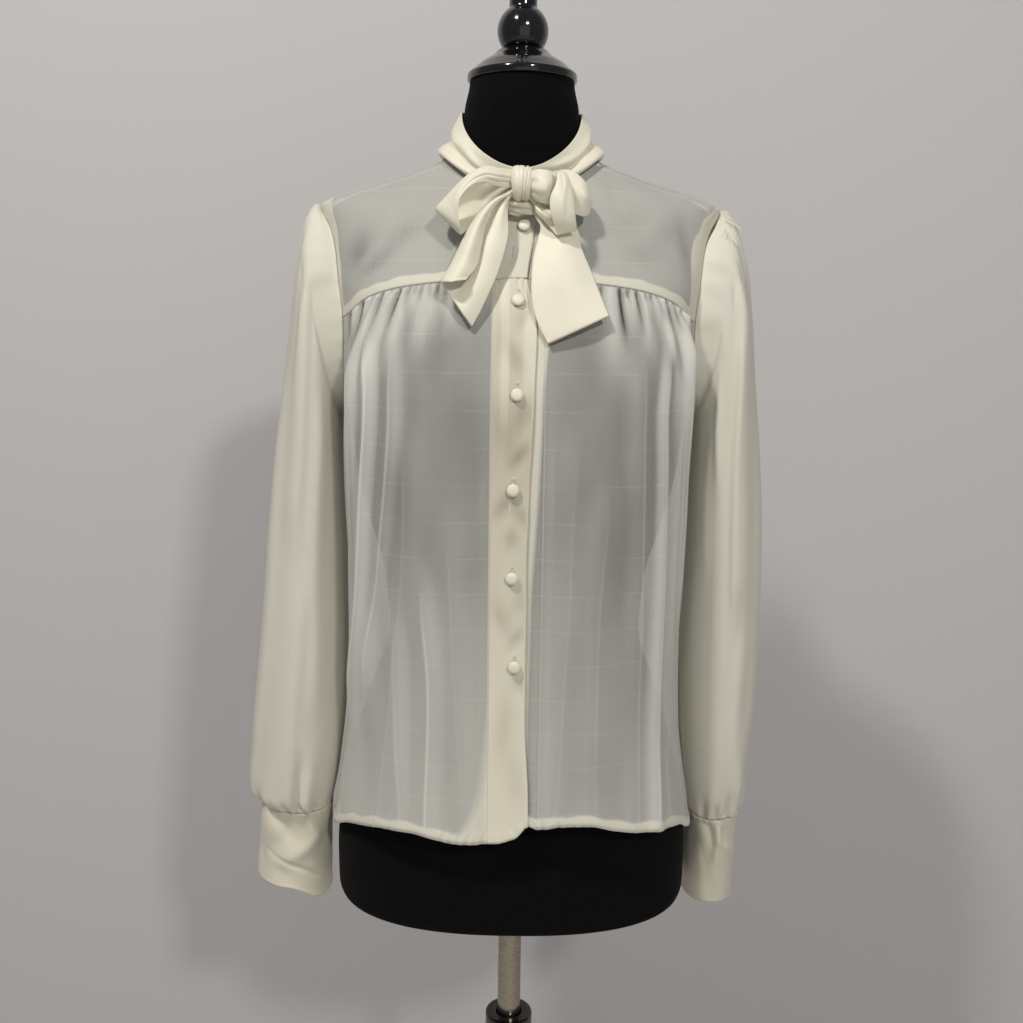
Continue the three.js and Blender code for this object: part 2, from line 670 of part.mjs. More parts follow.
// A ring between its nearest and farthest points from the body. Angle 0 is the far side, 90
// the front and 180 the side next to the body.
function ringPoint(ring, side, angle) {
  const turn = degrees(angle)
  const near = new Vector3(side * ring.innerX, ring.y, ring.innerZ)
  const far = new Vector3(side * ring.outerX, ring.y, ring.outerZ)
  const point = between(near, far, (1 + Math.cos(turn)) / 2)
  point.y -= ring.depth * Math.sin(turn)
  return point
}

// One sleeve: the armhole's own loop just outside the body, then ring by ring to the cuff.
function sleeve(side, rings) {
  const angles = Array.from({ length: sleeveSides }, (_, i) => (360 * i) / sleeveSides)
  const armholeRing = angles.map((angle) => {
    return armholePoint(side, angle).add(new Vector3(side * sleeveStand, 0, 0))
  })
  const points = armholeRing.concat(rings.flatMap((ring) => angles.map((angle) => ringPoint(ring, side, angle))))
  const faces = meshGrid(rings.length, sleeveSides, true)
  const normals = meshNormals(points, faces)
  const frontOfFourthRing = normals[4 * sleeveSides + sleeveSides / 4]
  const flip = frontOfFourthRing.y > 0 ? -1 : 1
  normals.forEach((normal) => normal.multiplyScalar(flip))
  const last = rings.length
  const lift = (point, i) => {
    const ring = Math.floor(i / sleeveSides)
    const place = i % sleeveSides
    const angle = angles[place]
    const wave = place % 2 === 0 ? 1 : -1
    const fromTop = Math.abs(angle > 180 ? angle - 360 : angle)
    const capSide = 1 - smooth(capGatherAngles.full, capGatherAngles.gone, fromTop)
    const capRise = capGathers[ring] ?? 0
    const cuffRise = cuffGathers[last - ring] ?? 0
    const nearBody = 1 - nextToBody.calm * smooth(nextToBody.from, nextToBody.full, fromTop)
    const grown = smooth(foldRings.start, foldRings.full, ring)
    const along = grown * (1 - smooth(last - foldRings.fade, last, ring))
    const folds = sleeveFolds.reduce((sum, fold) => {
      const centre = fold.angle + fold.turn * (ring / last)
      return sum + fold.rise * bell(angle - centre, fold.wide)
    }, 0)
    return wave * capSide * capRise + nearBody * wave * cuffRise + nearBody * along * folds
  }
  return wall(points, normals, faces, clothWall, lift)
}

// One cuff: a strip round the wrist whose end laps over its start.
function cuff(side, sleeveEnd, lowerEdge) {
  const upperEdge = { ...sleeveEnd }
  upperEdge.innerZ -= cuffGap
  upperEdge.outerZ -= cuffGap
  const columns = 26
  const rows = 3
  const sweep = 360 + cuffLap.lap
  const points = []
  for (let r = 0; r <= rows; r += 1) {
    const ring = {}
    for (const key of Object.keys(upperEdge)) ring[key] = mix(upperEdge[key], lowerEdge[key], r / rows)
    for (let c = 0; c <= columns; c += 1) {
      points.push(ringPoint(ring, side, cuffLap.start + (sweep * c) / columns))
    }
  }
  const centres = [upperEdge, lowerEdge].map((ring) => {
    return new Vector3((side * (ring.innerX + ring.outerX)) / 2, ring.y, (ring.innerZ + ring.outerZ) / 2)
  })
  const axis = centres[1].clone().sub(centres[0]).normalize()
  const normals = points.map((point) => {
    const out = point.clone().sub(centres[0])
    return out.addScaledVector(axis, -out.dot(axis)).normalize()
  })
  const lift = (point, i) => {
    const turned = (sweep * (i % (columns + 1))) / columns
    return cuffLap.lift * smooth(360 - cuffLap.rampFrom, 360 - cuffLap.rampTo, turned)
  }
  return wall(points, normals, meshGrid(rows, columns), cuffWall, lift)
}

// The neckband, from one front end round the back to the other.
function neckband() {
  const columns = 30
  const points = []
  const lifts = []
  for (const { up, out } of bandProfile) {
    for (let c = 0; c <= columns; c += 1) {
      const full = mix(bandEndAngle, 360 - bandEndAngle, c / columns)
      const side = full <= 180 ? -1 : 1
      const angle = full <= 180 ? full : 360 - full
      const seat = necklinePoint(side, angle)
      const foot = seat.clone().addScaledVector(bodyNormal(seat), collarStand + overLap(seat))
      const turn = degrees(angle)
      const depth = angle < 90 ? bandTop.front : bandTop.back
      const frontRise = (1 - Math.cos(turn)) ** bandTop.curve
      const topZ =
        angle < 90
          ? mix(bandTop.frontZ, bandTop.sideZ, frontRise)
          : mix(bandTop.sideZ, bandTop.backZ, -Math.cos(turn))
      const head = new Vector3(side * bandTop.half * Math.sin(turn), -depth * Math.cos(turn), topZ)
      const point = between(foot, head, up)
      const pulled = (1 - smooth(bandEndAngle, bandPull.gone, angle)) * smooth(0, bandPull.fullUp, up)
      point.y -= bandPull.forward * pulled
      points.push(point)
      lifts.push(out * mix(bandRoll.least, 1, smooth(bandRoll.from, bandRoll.full, angle)))
    }
  }
  const faces = meshGrid(bandProfile.length - 1, columns)
  const normals = points.map((point) => new Vector3(point.x, point.y, 0).normalize())
  return wall(points, normals, faces, doubledWall, (point, i) => lifts[i])
}

// A strip of the tie through rows of points across it, smoothed both ways.
function strip(rows, along, across, thickness = doubledWall) {
  const spans = rows[0].map((_, i) => new CatmullRomCurve3(rows.map((row) => row[i])))
  const points = []
  for (let a = 0; a <= along; a += 1) {
    const line = new CatmullRomCurve3(spans.map((span) => span.getPoint(a / along)))
    for (let b = 0; b <= across; b += 1) points.push(line.getPoint(b / across))
  }
  const faces = meshGrid(along, across)
  return wall(points, meshNormals(points, faces), faces, thickness)
}

// Rows of the tie between an upper edge a and a lower edge b. Crown is how far the middle
// stands forward of the line between them.
const edgesAndCrown = (row) => {
  const a = new Vector3(row.ax, row.ay, row.az)
  const b = new Vector3(row.bx, row.by, row.bz)
  const middle = between(a, b, 0.5)
  middle.y -= row.crown
  return [a, middle, b]
}

// The loop on the wearer's right: out from the knot, over the fold at its end and back.
const loopRight = [
  { ax: -8, ay: -92, az: 1447, bx: -8, by: -92, bz: 1434, crown: 3 },
  { ax: -17, ay: -97, az: 1448, bx: -17.5, by: -99, bz: 1434, crown: 5 },
  { ax: -27, ay: -100, az: 1449, bx: -29, by: -106, bz: 1436, crown: 4 },
  { ax: -37, ay: -102, az: 1445, bx: -39, by: -111, bz: 1432, crown: 3 },
  { ax: -46, ay: -103, az: 1438, bx: -47, by: -114, bz: 1422, crown: 2 },
  { ax: -56, ay: -102, az: 1428, bx: -48, by: -114, bz: 1410, crown: 2 },
  { ax: -66.5, ay: -98, az: 1417.5, bx: -46, by: -110, bz: 1399, crown: 2 },
  { ax: -67.5, ay: -94, az: 1417, bx: -46.5, by: -105, bz: 1397, crown: 0 },
  { ax: -65.5, ay: -89, az: 1418.5, bx: -44, by: -99, bz: 1399, crown: -3 },
  { ax: -56, ay: -83, az: 1430, bx: -37, by: -91, bz: 1407, crown: -2 },
  { ax: -45, ay: -81, az: 1440, bx: -29, by: -85.5, bz: 1415, crown: -1 },
  { ax: -32, ay: -81, az: 1446.5, bx: -22, by: -83, bz: 1424, crown: 0 },
  { ax: -18, ay: -82, az: 1448.5, bx: -15, by: -82.5, bz: 1431, crown: 0 },
  { ax: -8, ay: -84, az: 1447, bx: -8, by: -84, bz: 1435, crown: 0 },
]

// The loop on the wearer's left: a plump front, then a lobe that turns behind.
const loopLeft = [
  { ax: 8.5, ay: -93, az: 1447, bx: 8.5, by: -93, bz: 1427, crown: 4 },
  { ax: 13, ay: -98, az: 1447.5, bx: 13, by: -98, bz: 1423, crown: 6 },
  { ax: 19, ay: -99, az: 1447, bx: 19, by: -99, bz: 1421.5, crown: 7 },
  { ax: 25, ay: -96, az: 1446, bx: 25, by: -96, bz: 1424, crown: 4 },
  { ax: 31, ay: -92, az: 1448, bx: 32, by: -92, bz: 1421, crown: 1 },
  { ax: 40, ay: -92, az: 1447, bx: 42, by: -93, bz: 1415, crown: 3 },
  { ax: 49, ay: -91, az: 1440.5, bx: 50, by: -91, bz: 1413, crown: 4 },
  { ax: 54.5, ay: -87, az: 1431, bx: 54, by: -87, bz: 1416, crown: 0 },
  { ax: 50, ay: -82.5, az: 1438.5, bx: 49, by: -82, bz: 1417, crown: -2 },
  { ax: 38, ay: -80.5, az: 1446.5, bx: 36, by: -80, bz: 1420.5, crown: -1 },
  { ax: 22, ay: -80.5, az: 1448, bx: 21.5, by: -80.5, bz: 1425, crown: 0 },
  { ax: 8.5, ay: -84, az: 1447, bx: 8.5, by: -84, bz: 1429, crown: 0 },
]

// The strand that falls over the left loop, turns under and goes back to the knot in crumples.
const foldLeft = [
  { ax: 24.5, ay: -103.5, az: 1445.5, bx: 34, by: -101, bz: 1445.5, crown: 1 },
  { ax: 27, ay: -109, az: 1444, bx: 36.5, by: -106, bz: 1440, crown: 2 },
  { ax: 26, ay: -113, az: 1434.5, bx: 39.5, by: -110, bz: 1428.5, crown: 3 },
  { ax: 22, ay: -115, az: 1424, bx: 41, by: -112, bz: 1418.5, crown: 4 },
  { ax: 22.5, ay: -115, az: 1414, bx: 42, by: -112, bz: 1410.5, crown: 3 },
  { ax: 25.5, ay: -112, az: 1405, bx: 43, by: -109, bz: 1404, crown: 2 },
  { ax: 28, ay: -106, az: 1398, bx: 42.5, by: -104, bz: 1401.5, crown: 0 },
  { ax: 23, ay: -100, az: 1403.5, bx: 35, by: -99, bz: 1407, crown: -2 },
  { ax: 18, ay: -99.5, az: 1409, bx: 25, by: -97.5, bz: 1416, crown: 3 },
  { ax: 12.5, ay: -93, az: 1415, bx: 16, by: -93.5, bz: 1420, crown: 0 },
  { ax: 8, ay: -90.3, az: 1424.5, bx: 8, by: -90.3, bz: 1429, crown: 0 },
]

// The tail on the wearer's left hangs nearly flat.
const tailLeft = [
  { ax: 7.8, ay: -87.3, az: 1425.5, bx: 7.8, by: -87.3, bz: 1431.5, crown: 0 },
  { ax: 11, ay: -87.5, az: 1413, bx: 19, by: -87, bz: 1421, crown: 1 },
  { ax: 15.5, ay: -90, az: 1405, bx: 35, by: -88, bz: 1413, crown: 2 },
  { ax: 13.5, ay: -96, az: 1395, bx: 45, by: -93, bz: 1402, crown: 3 },
  { ax: 10.5, ay: -103, az: 1382, bx: 48, by: -100, bz: 1388, crown: 5 },
  { ax: 9, ay: -110, az: 1366, bx: 54, by: -107, bz: 1373, crown: 6 },
  { ax: 9.5, ay: -116, az: 1349, bx: 60.5, by: -113, bz: 1357, crown: 5 },
  { ax: 13.5, ay: -121, az: 1332, bx: 65, by: -117.5, bz: 1346, crown: 3 },
  { ax: 22.5, ay: -126, az: 1314, bx: 69, by: -121, bz: 1336, crown: 2 },
]

// The tail on the wearer's right has one edge rolled over its front: r is its plain edge, l the
// roll and e the rolled edge, and roll is how far the roll stands forward.
const tailRight = [
  { rx: -8, rz: 1427, lx: -8, lz: 1431.5, ex: -8, ez: 1429, y: -91, roll: 2 },
  { rx: -10, rz: 1419, lx: -22.5, lz: 1424, ex: -17, ez: 1422.5, y: -92, roll: 5 },
  { rx: -10, rz: 1410, lx: -31.5, lz: 1414.5, ex: -23, ez: 1414, y: -95.5, roll: 7 },
  { rx: -9.5, rz: 1399, lx: -39.5, lz: 1402.5, ex: -27.5, ez: 1402, y: -99.5, roll: 8 },
  { rx: -12, rz: 1386, lx: -46, lz: 1389, ex: -30, ez: 1388, y: -104, roll: 9 },
  { rx: -17, rz: 1369, lx: -52, lz: 1376, ex: -32.5, ez: 1375, y: -108, roll: 9 },
  { rx: -24, rz: 1352, lx: -57, lz: 1366, ex: -37, ez: 1367, y: -114, roll: 9 },
  { rx: -31, rz: 1337, lx: -59, lz: 1361.5, ex: -40, ez: 1363.5, y: -118, roll: 8 },
  { rx: -37, rz: 1326, lx: -59.5, lz: 1358.5, ex: -41, ez: 1362, y: -121, roll: 8 },
]

// How far across the tail its crest, its hollow and the top of its roll lie, and how far each
// stands forward, as a share of the roll.
const rollShape = {
  crest: { across: 0.32, forward: 0.3 },
  hollow: { across: 0.72, forward: -0.25 },
  over: { across: 0.45, forward: 1 },
  edge: 0.62,
}

const rolledRow = (row) => {
  const plain = new Vector3(row.rx, row.y, row.rz)
  const roll = new Vector3(row.lx, row.y - 1, row.lz)
  const edge = new Vector3(row.ex, row.y - rollShape.edge * row.roll, row.ez)
  const placed = (from, to, { across, forward }) => {
    const point = between(from, to, across)
    point.y -= forward * row.roll
    return point
  }
  const crest = placed(plain, roll, rollShape.crest)
  const hollow = placed(plain, roll, rollShape.hollow)
  const over = placed(roll, edge, rollShape.over)
  return [plain, crest, hollow, roll, over, edge]
}

// A solid turned round the Z axis from a profile of radius and height.
function turned(profile, sides) {
  const geometry = new THREE.LatheGeometry(profile.map(([r, z]) => new THREE.Vector2(r, z)), sides)
  geometry.rotateX(Math.PI / 2)
  return geometry
}

// The knot: a band of three strands wrapped round the crossing, as one rounded solid.
const knotShape = { x: 0.3, y: -87.5, z: 1437.5, width: 7, depth: 12, height: 13.2 }
function knot() {
  const profile = [
    { x: -1, r: 0.6 },
    { x: -0.86, r: 0.96 },
    { x: -0.2, r: 1 },
    { x: 0.16, r: 1 },
    { x: 0.24, r: 0.9 },
    { x: 0.34, r: 0.99 },
    { x: 0.6, r: 0.97 },
    { x: 0.68, r: 0.88 },
    { x: 0.78, r: 0.93 },
    { x: 1, r: 0.6 },
  ]
  const line = [[0, -1], ...profile.map(({ x, r }) => [r, x]), [0, 1]]
  const geometry = turned(line, 14)
  geometry.rotateY(Math.PI / 2)
  geometry.scale(knotShape.width, knotShape.depth, knotShape.height)
  return geometry
}

function buttonShape() {
  const { radius, base: foot, rim, shoulder, shoulderZ, height } = button
  return turned([[0, 0], [foot, 0], [radius, rim], [shoulder, shoulderZ], [0, height]], 12)
}

// The dress form: its sections stacked from the flat bottom to the top of the neck.
function dressForm() {
  const points = []
  const normals = []
  for (const row of formSections) {
    for (let i = 0; i < formSides; i += 1) {
      const turn = (2 * Math.PI * i) / formSides
      const power = 2 / row.square
      const x = row.half * Math.sign(Math.sin(turn)) * Math.abs(Math.sin(turn)) ** power
      const depth = Math.cos(turn) > 0 ? row.front : row.back
      const y = -depth * Math.sign(Math.cos(turn)) * Math.abs(Math.cos(turn)) ** power
      const rise = y < 0 ? bust.form * bell(Math.abs(x) - bust.x, bust.wide) * bell(row.z - bust.z, bust.tall) : 0
      points.push(new Vector3(x, y - rise, row.z))
    }
  }
  const faces = meshGrid(formSections.length - 1, formSides, true)
  const last = (formSections.length - 1) * formSides
  const low = points.push(new Vector3(0, 0, formBottom)) - 1
  const high = points.push(new Vector3(0, 0, formTop)) - 1
  for (let i = 0; i < formSides; i += 1) {
    const next = (i + 1) % formSides
    faces.push([next, i, low], [last + i, last + next, high])
  }
  const geometry = new THREE.BufferGeometry()
  geometry.setAttribute('position', new THREE.Float32BufferAttribute(points.flatMap((p) => p.toArray()), 3))
  geometry.setIndex(faces.flat())
  geometry.computeVertexNormals()
  return geometry
}

const blouse = new THREE.Group()

function add(name, geometry, material, position = [0, 0, 0]) {
  const mesh = new THREE.Mesh(geometry, material)
  mesh.name = name
  mesh.position.set(...position)
  blouse.add(mesh)
  return mesh
}

// Turns a mesh whose height runs along Z so that it runs along a direction.
const faceAlong = (mesh, direction) => {
  mesh.quaternion.setFromUnitVectors(new Vector3(0, 0, 1), direction.clone().normalize())
}

// The stand and the form.
add('base', turned([
  [0, 0],
  [base.radius, 0],
  [base.radius, base.height - base.bevel],
  [base.radius - base.bevel, base.height],
  [0, base.height],
], 40), materials.gloss)
add('column', turned([
  [0, base.height + restGap],
  [column.radius, base.height + restGap],
  [column.radius, column.top - column.lip],
  [column.radius - column.lip, column.top],
  [column.bore, column.top],
  [column.bore, column.boreFloor],
  [0, column.boreFloor],
], 24), materials.gloss)
add('pole', turned([
  [0, pole.bottom],
  [pole.radius, pole.bottom],
  [pole.radius, formBottom - restGap],
  [0, formBottom - restGap],
], 20), materials.nickel)
add('torso', dressForm(), materials.jersey)
const capLine = cap.map(({ radius, up }) => [radius, capZ + up])
const capTop = [0, capLine[capLine.length - 1][1]]
add('neck_cap', turned([[0, capZ], ...capLine, capTop], 28), materials.gloss)
const ballLine = ball.levels.map((z) => [Math.sqrt(ball.radius ** 2 - (z - ball.z) ** 2), z])
const flareLine = flare.map(({ radius, z }) => [radius, z])
add('finial', turned([[0, finialZ], ...ballLine, ...flareLine], 20), materials.gloss)

// The body of the blouse.
add('front_right', frontPanel(-1, frontFolds.right), materials.sheer)
add('front_left', frontPanel(1, frontFolds.left), materials.sheer)
add('yoke_right', yoke(-1, band.neckEdge, band.seamEdge, lapRise), materials.sheer)
add('yoke_left', yoke(1, band.underEdge, band.underEdge, () => 0), materials.sheer)
const overStart = -band.seam + seamGap / 2
add('placket_over', buttonBand(overStart, band.overEdge, band.seamEdge, lapRise), materials.doubled)
add('placket_under', buttonBand(band.seam - seamGap / 2, band.underEdge, band.underEdge, () => 0), materials.doubled)
add('back', backPanel(), materials.sheer)

// Sleeves and cuffs.
for (const [name, side] of [['right', -1], ['left', 1]]) {
  const rings = sleeveRings[name]
  add(`sleeve_${name}`, sleeve(side, rings), materials.sheer)
  add(`cuff_${name}`, cuff(side, rings[rings.length - 1], cuffs[name]), materials.doubled)
}

// Neckband and bow.
add('collar', neckband(), materials.doubled)
add('knot', knot(), materials.doubled, [knotShape.x, knotShape.y, knotShape.z])
const bowPlace = [0, 3, 0]
add('bow_loop_right', strip(loopRight.map(edgesAndCrown), 26, 4), materials.doubled, bowPlace)
add('bow_loop_left', strip(loopLeft.map(edgesAndCrown), 24, 4), materials.doubled, bowPlace)
add('bow_fold_left', strip(foldLeft.map(edgesAndCrown), 20, 4), materials.doubled, bowPlace)
add('tail_left', strip(tailLeft.map(edgesAndCrown), 12, 5), materials.doubled, bowPlace)
add('tail_right', strip(tailRight.map(rolledRow), 12, 10), materials.doubled, bowPlace)

// Covered buttons: six down the band, and one on the lap of each cuff.
frontButtons.forEach(({ x, z }, i) => {
  const seat = onFace(x, z, -1)
  const out = bodyNormal(seat)
  seat.addScaledVector(out, lapRise(seat) + clothWall / 2 + restGap)
  faceAlong(add(`button_${i + 1}`, buttonShape(), materials.doubled, seat.toArray()), out)
})

for (const [name, side] of [['right', -1], ['left', 1]]) {
  const upper = sleeveRings[name][sleeveRings[name].length - 1]
  const ring = {}
  for (const key of Object.keys(upper)) ring[key] = mix(upper[key], cuffs[name][key], cuffLap.buttonDrop)
  const angle = cuffLap.start + cuffLap.lap / 2
  const seat = ringPoint(ring, side, angle)
  const ahead = ringPoint(ring, side, angle + 1)
  const behind = ringPoint(ring, side, angle - 1)
  const down = new Vector3(0, 0, -1)
  const out = ahead.sub(behind).cross(down).normalize()
  if (out.x * side < 0) out.negate()
  seat.addScaledVector(out, cuffLap.lift + cuffWall / 2 + cuffButtonStand[name])
  faceAlong(add(`cuff_button_${name}`, buttonShape(), materials.doubled, seat.toArray()), out)
}

export default blouse
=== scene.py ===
"""The looks of a sheer tie neck blouse on a limbless dress form.

Every piece of cloth is a surface over two parameters, worked out as whole numpy arrays. The
body of the blouse lies on a worn surface, whose section at each height is a superellipse:
|x / half width| to a power plus |y / depth| to the same power is 1. A panel is stretched
between its four edges (the sum of the two ruled surfaces between opposite edges, less the
surface through the four corners), moved onto the worn surface, and pushed out along its normal
by a sum of ridges. A ridge is a bell curve across a fold, whose middle follows a smooth line
down the cloth. Sleeves and cuffs are rings between a near and a far point, and the tie is a
smooth curve carried both ways through rows of points.

Tables are in millimetres and right and left are the wearer's, as in the part's source.
"""
import math

import bmesh
import bpy
import numpy as np
from bpy.props import FloatProperty
from bpy.props import FloatVectorProperty
from bpy.props import IntProperty
from bpy.props import PointerProperty
from mathutils import Matrix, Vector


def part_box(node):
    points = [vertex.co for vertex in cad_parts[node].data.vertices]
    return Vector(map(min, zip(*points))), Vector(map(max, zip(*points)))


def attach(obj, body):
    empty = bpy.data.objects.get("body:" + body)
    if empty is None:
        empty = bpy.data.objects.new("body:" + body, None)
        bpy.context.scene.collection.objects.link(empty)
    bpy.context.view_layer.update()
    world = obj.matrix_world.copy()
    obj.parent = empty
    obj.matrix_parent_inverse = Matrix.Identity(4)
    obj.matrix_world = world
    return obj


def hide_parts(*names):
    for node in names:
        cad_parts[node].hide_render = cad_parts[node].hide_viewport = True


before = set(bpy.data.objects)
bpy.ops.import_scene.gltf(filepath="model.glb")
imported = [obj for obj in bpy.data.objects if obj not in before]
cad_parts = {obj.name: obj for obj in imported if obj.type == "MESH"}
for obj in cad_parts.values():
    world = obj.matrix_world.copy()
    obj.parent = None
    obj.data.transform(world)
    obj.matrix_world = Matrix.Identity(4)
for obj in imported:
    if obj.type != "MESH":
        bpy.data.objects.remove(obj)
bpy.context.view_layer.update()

bl_info = {
    "name": "Tie neck blouse",
    "version": (1, 0, 0),
    "blender": (4, 5, 0),
    "location": "View3D > Sidebar > Blouse",
    "description": "Builds a sheer tie neck blouse on a dress form",
    "category": "Object",
}

MM = 0.001
FINE_STEPS = 600


def linear(hex_code):
    """An sRGB hex colour as linear red, green and blue."""
    values = np.array([int(hex_code[i:i + 2], 16) for i in (1, 3, 5)]) / 255
    low = values / 12.92
    high = ((values + 0.055) / 1.055) ** 2.4
    return tuple(np.where(values <= 0.04045, low, high))


def colour(name, description, hex_code):
    """A colour property that starts at an sRGB hex colour."""
    return FloatVectorProperty(
        name=name, description=description, default=linear(hex_code), subtype="COLOR", size=3, min=0, max=1
    )


def length(name, description, default):
    """A property for a length in metres."""
    return FloatProperty(name=name, description=description, default=default, unit="LENGTH", min=0)


class BlouseSizes(bpy.types.PropertyGroup):
    """Sizes that a user would change."""

    sheer_wall: length("Sheer cloth", "Thickness of one layer of sheer cloth", 0.0004)
    doubled_wall: length("Doubled cloth", "Thickness of a folded and sewn layer", 0.0015)
    hem_depth: length("Hem", "Depth of the narrow hem", 0.009)
    allowance: length("Allowance", "Width of the seam allowances that show through", 0.0085)
    check_across: length("Check across", "Distance between the upright lines of the check", 0.028)
    check_down: length("Check down", "Distance between the level lines of the check", 0.029)
    check_line: length("Check line", "Width of a line of the check", 0.0009)
    sides: IntProperty(name="Sides", description="Sides of the turned pieces", default=96, min=12, max=256)


class BlouseColours(bpy.types.PropertyGroup):
    """Colours that a user would change."""

    sheer: colour("Sheer", "One layer of the sheer cloth", "#E4E5DE")
    sleeve: colour("Sleeve", "Sheer cloth with cloth behind it", "#E9E6DA")
    doubled: colour("Doubled", "Two or more layers of the cloth", "#E6E2D0")
    thread: colour("Thread", "Sewing thread", "#E9E4D2")
    jersey: colour("Jersey", "Cover of the dress form", "#08080A")
    lacquer: colour("Lacquer", "Turned cap and ball", "#050505")
    enamel: colour("Enamel", "Column and base", "#070707")
    nickel: colour("Nickel", "Pole", "#C9C1B0")
    wall: colour("Wall", "Painted wall behind the form", "#C8C7C8")
    floor: colour("Floor", "Plain pale floor", "#CFCBC6")


# Small tools for curves and tables.
def columns(names, rows):
    """A table as one array for each named column."""
    return dict(zip(names.split(), np.array(rows, float).T))


def bell(offset, wide):
    """e to minus half the square of offset over wide: 1 at the middle of a fold."""
    return np.exp(-0.5 * (offset / wide) ** 2)


def ease(start, stop, value):
    """0 before start and 1 after stop, with a smooth S between them."""
    t = np.clip((value - start) / (stop - start), 0, 1)
    return t * t * (3 - 2 * t)


def mix(a, b, t):
    """a where t is 0, b where t is 1, and the straight line between them."""
    return a + (b - a) * t


def cubic(first, rise, start, stop, t):
    """The cubic that goes up from first by rise as t goes from 0 to 1, with its slopes at both ends."""
    return first + start * t + (3 * rise - 2 * start - stop) * t**2 + (start + stop - 2 * rise) * t**3


def curve_through(at, values, where):
    """A cubic through the rows of a table that never swings past them: its slope at a row is
    the harmonic mean of the slopes on both sides, or 0 where the values turn back."""
    at, values = np.asarray(at, float), np.asarray(values, float)
    span = np.diff(at)
    slope = np.diff(values) / span
    product = slope[:-1] * slope[1:]
    onward = product > 0
    inner = np.where(onward, 2 * product / np.where(onward, slope[:-1] + slope[1:], 1), 0)
    tangent = np.concatenate([[0], inner, [0]])
    where = np.clip(where, at[0], at[-1])
    row = np.clip(np.searchsorted(at, where, side="right") - 1, 0, len(at) - 2)
    t = (where - at[row]) / span[row]
    start = tangent[row] * span[row]
    stop = tangent[row + 1] * span[row]
    return cubic(values[row], values[row + 1] - values[row], start, stop, t)


def spline(knots, values, at):
    """A smooth curve through rows of points: each row's tangent is that of the parabola through
    it and its two neighbours, and a cubic joins the rows."""
    step = np.diff(knots)
    shape = (-1,) + (1,) * (values.ndim - 1)
    slope = np.diff(values, axis=0) / step.reshape(shape)
    before = step[:-1].reshape(shape)
    after = step[1:].reshape(shape)
    inner = (slope[:-1] * after + slope[1:] * before) / (before + after)
    tangent = np.concatenate([slope[:1], inner, slope[-1:]])
    row = np.clip(np.searchsorted(knots, at, side="right") - 1, 0, len(knots) - 2)
    t = ((at - knots[row]) / step[row]).reshape(shape)
    start = tangent[row] * step[row].reshape(shape)
    stop = tangent[row + 1] * step[row].reshape(shape)
    return cubic(values[row], values[row + 1] - values[row], start, stop, t)


def stacked(*parts):
    """The parts, spread to one shape, side by side along a new last axis."""
    return np.stack(np.broadcast_arrays(*parts), axis=-1)


def unit(vectors):
    """Vectors divided by their own lengths."""
    return vectors / np.linalg.norm(vectors, axis=-1, keepdims=True)


def circle(sides):
    """Angles all the way round, as one row."""
    return np.linspace(0, 2 * np.pi, sides + 1)[None, :-1]


def run(points, axis=0):
    """Distance along a grid of points, from its first row or column."""
    steps = np.linalg.norm(np.diff(points, axis=axis), axis=-1)
    first = np.zeros_like(np.take(steps, [0], axis=axis))
    return np.cumsum(np.concatenate([first, steps], axis=axis), axis=axis)


def evenly(curve, count):
    """Points along a function of 0 to 1, at even steps of its length."""
    fine = curve(np.linspace(0, 1, FINE_STEPS))
    distance = run(fine)
    where = np.linspace(0, distance[-1], count)
    return np.stack([np.interp(where, distance, fine[:, i]) for i in range(3)], axis=-1)


def grid_normals(points, closed=False):
    """Normals of a grid: the cross product of its steps along and across."""
    along = np.gradient(points, axis=0)
    if closed:
        across = np.roll(points, -1, axis=1) - np.roll(points, 1, axis=1)
    else:
        across = np.gradient(points, axis=1)
    normals = np.cross(across, along)
    return normals / np.maximum(np.linalg.norm(normals, axis=-1, keepdims=True), 1e-9)


# The worn surface of the cloth and the surface of the form, by height: half width, depth to the
# front and to the back, and the power of the section.
SECTION = "z half front back square"
CLOTH = columns(SECTION, [
    (850, 167.5, 128, 124, 2.3), (900, 162.5, 127, 121, 2.3), (940, 156, 127, 118, 2.3),
    (985, 150.5, 128, 114, 2.3), (1085, 148, 130, 112, 2.35), (1175, 149, 132, 113, 2.4),
    (1265, 150, 129, 116, 2.6), (1310, 150.5, 118, 117, 2.8), (1337, 152.5, 107, 114, 2.9),
    (1362, 157, 95, 109, 3), (1404, 164, 75, 95, 2.8), (1426, 170, 64, 84, 2.5),
    (1436.5, 150, 57, 78, 2.3), (1445, 123, 52, 72, 2.2), (1455, 93, 48, 66, 2.2),
    (1465, 66, 46, 62, 2.2), (1475, 44, 44, 58, 2.2),
])
FORM = columns(SECTION, [
    (805, 151, 97, 95, 2.4), (809, 158, 104, 102, 2.4), (818, 161.5, 107.5, 107, 2.3),
    (850, 162, 107, 110, 2.3), (900, 158, 102, 112, 2.3), (950, 147, 96, 107, 2.3),
    (1005, 130, 90, 94, 2.2), (1060, 113, 86, 84, 2.2), (1110, 117, 90, 88, 2.2),
    (1160, 130, 99, 95, 2.3), (1210, 141, 108, 101, 2.4), (1260, 145, 108, 105, 2.5),
    (1310, 146, 98, 106, 2.6), (1350, 150, 84, 104, 2.7), (1390, 157, 70, 93, 2.7),
    (1421, 163, 59, 71, 2.4), (1434, 147, 51, 67, 2.2), (1443, 118.5, 47, 62, 2.1),
    (1453, 89, 45, 57, 2.1), (1463, 63, 45, 53, 2.1), (1478, 54.5, 47, 50, 2),
    (1492, 50.5, 47.6, 48.6, 2), (1508, 48.6, 47.8, 48, 2), (1529.6, 44.5, 44.5, 44.5, 2),
])
BUST = {"x": 78, "z": 1205, "wide": 38, "tall": 48, "form": 9, "cloth": 7, "cloth_tall": 60, "fall": 210}


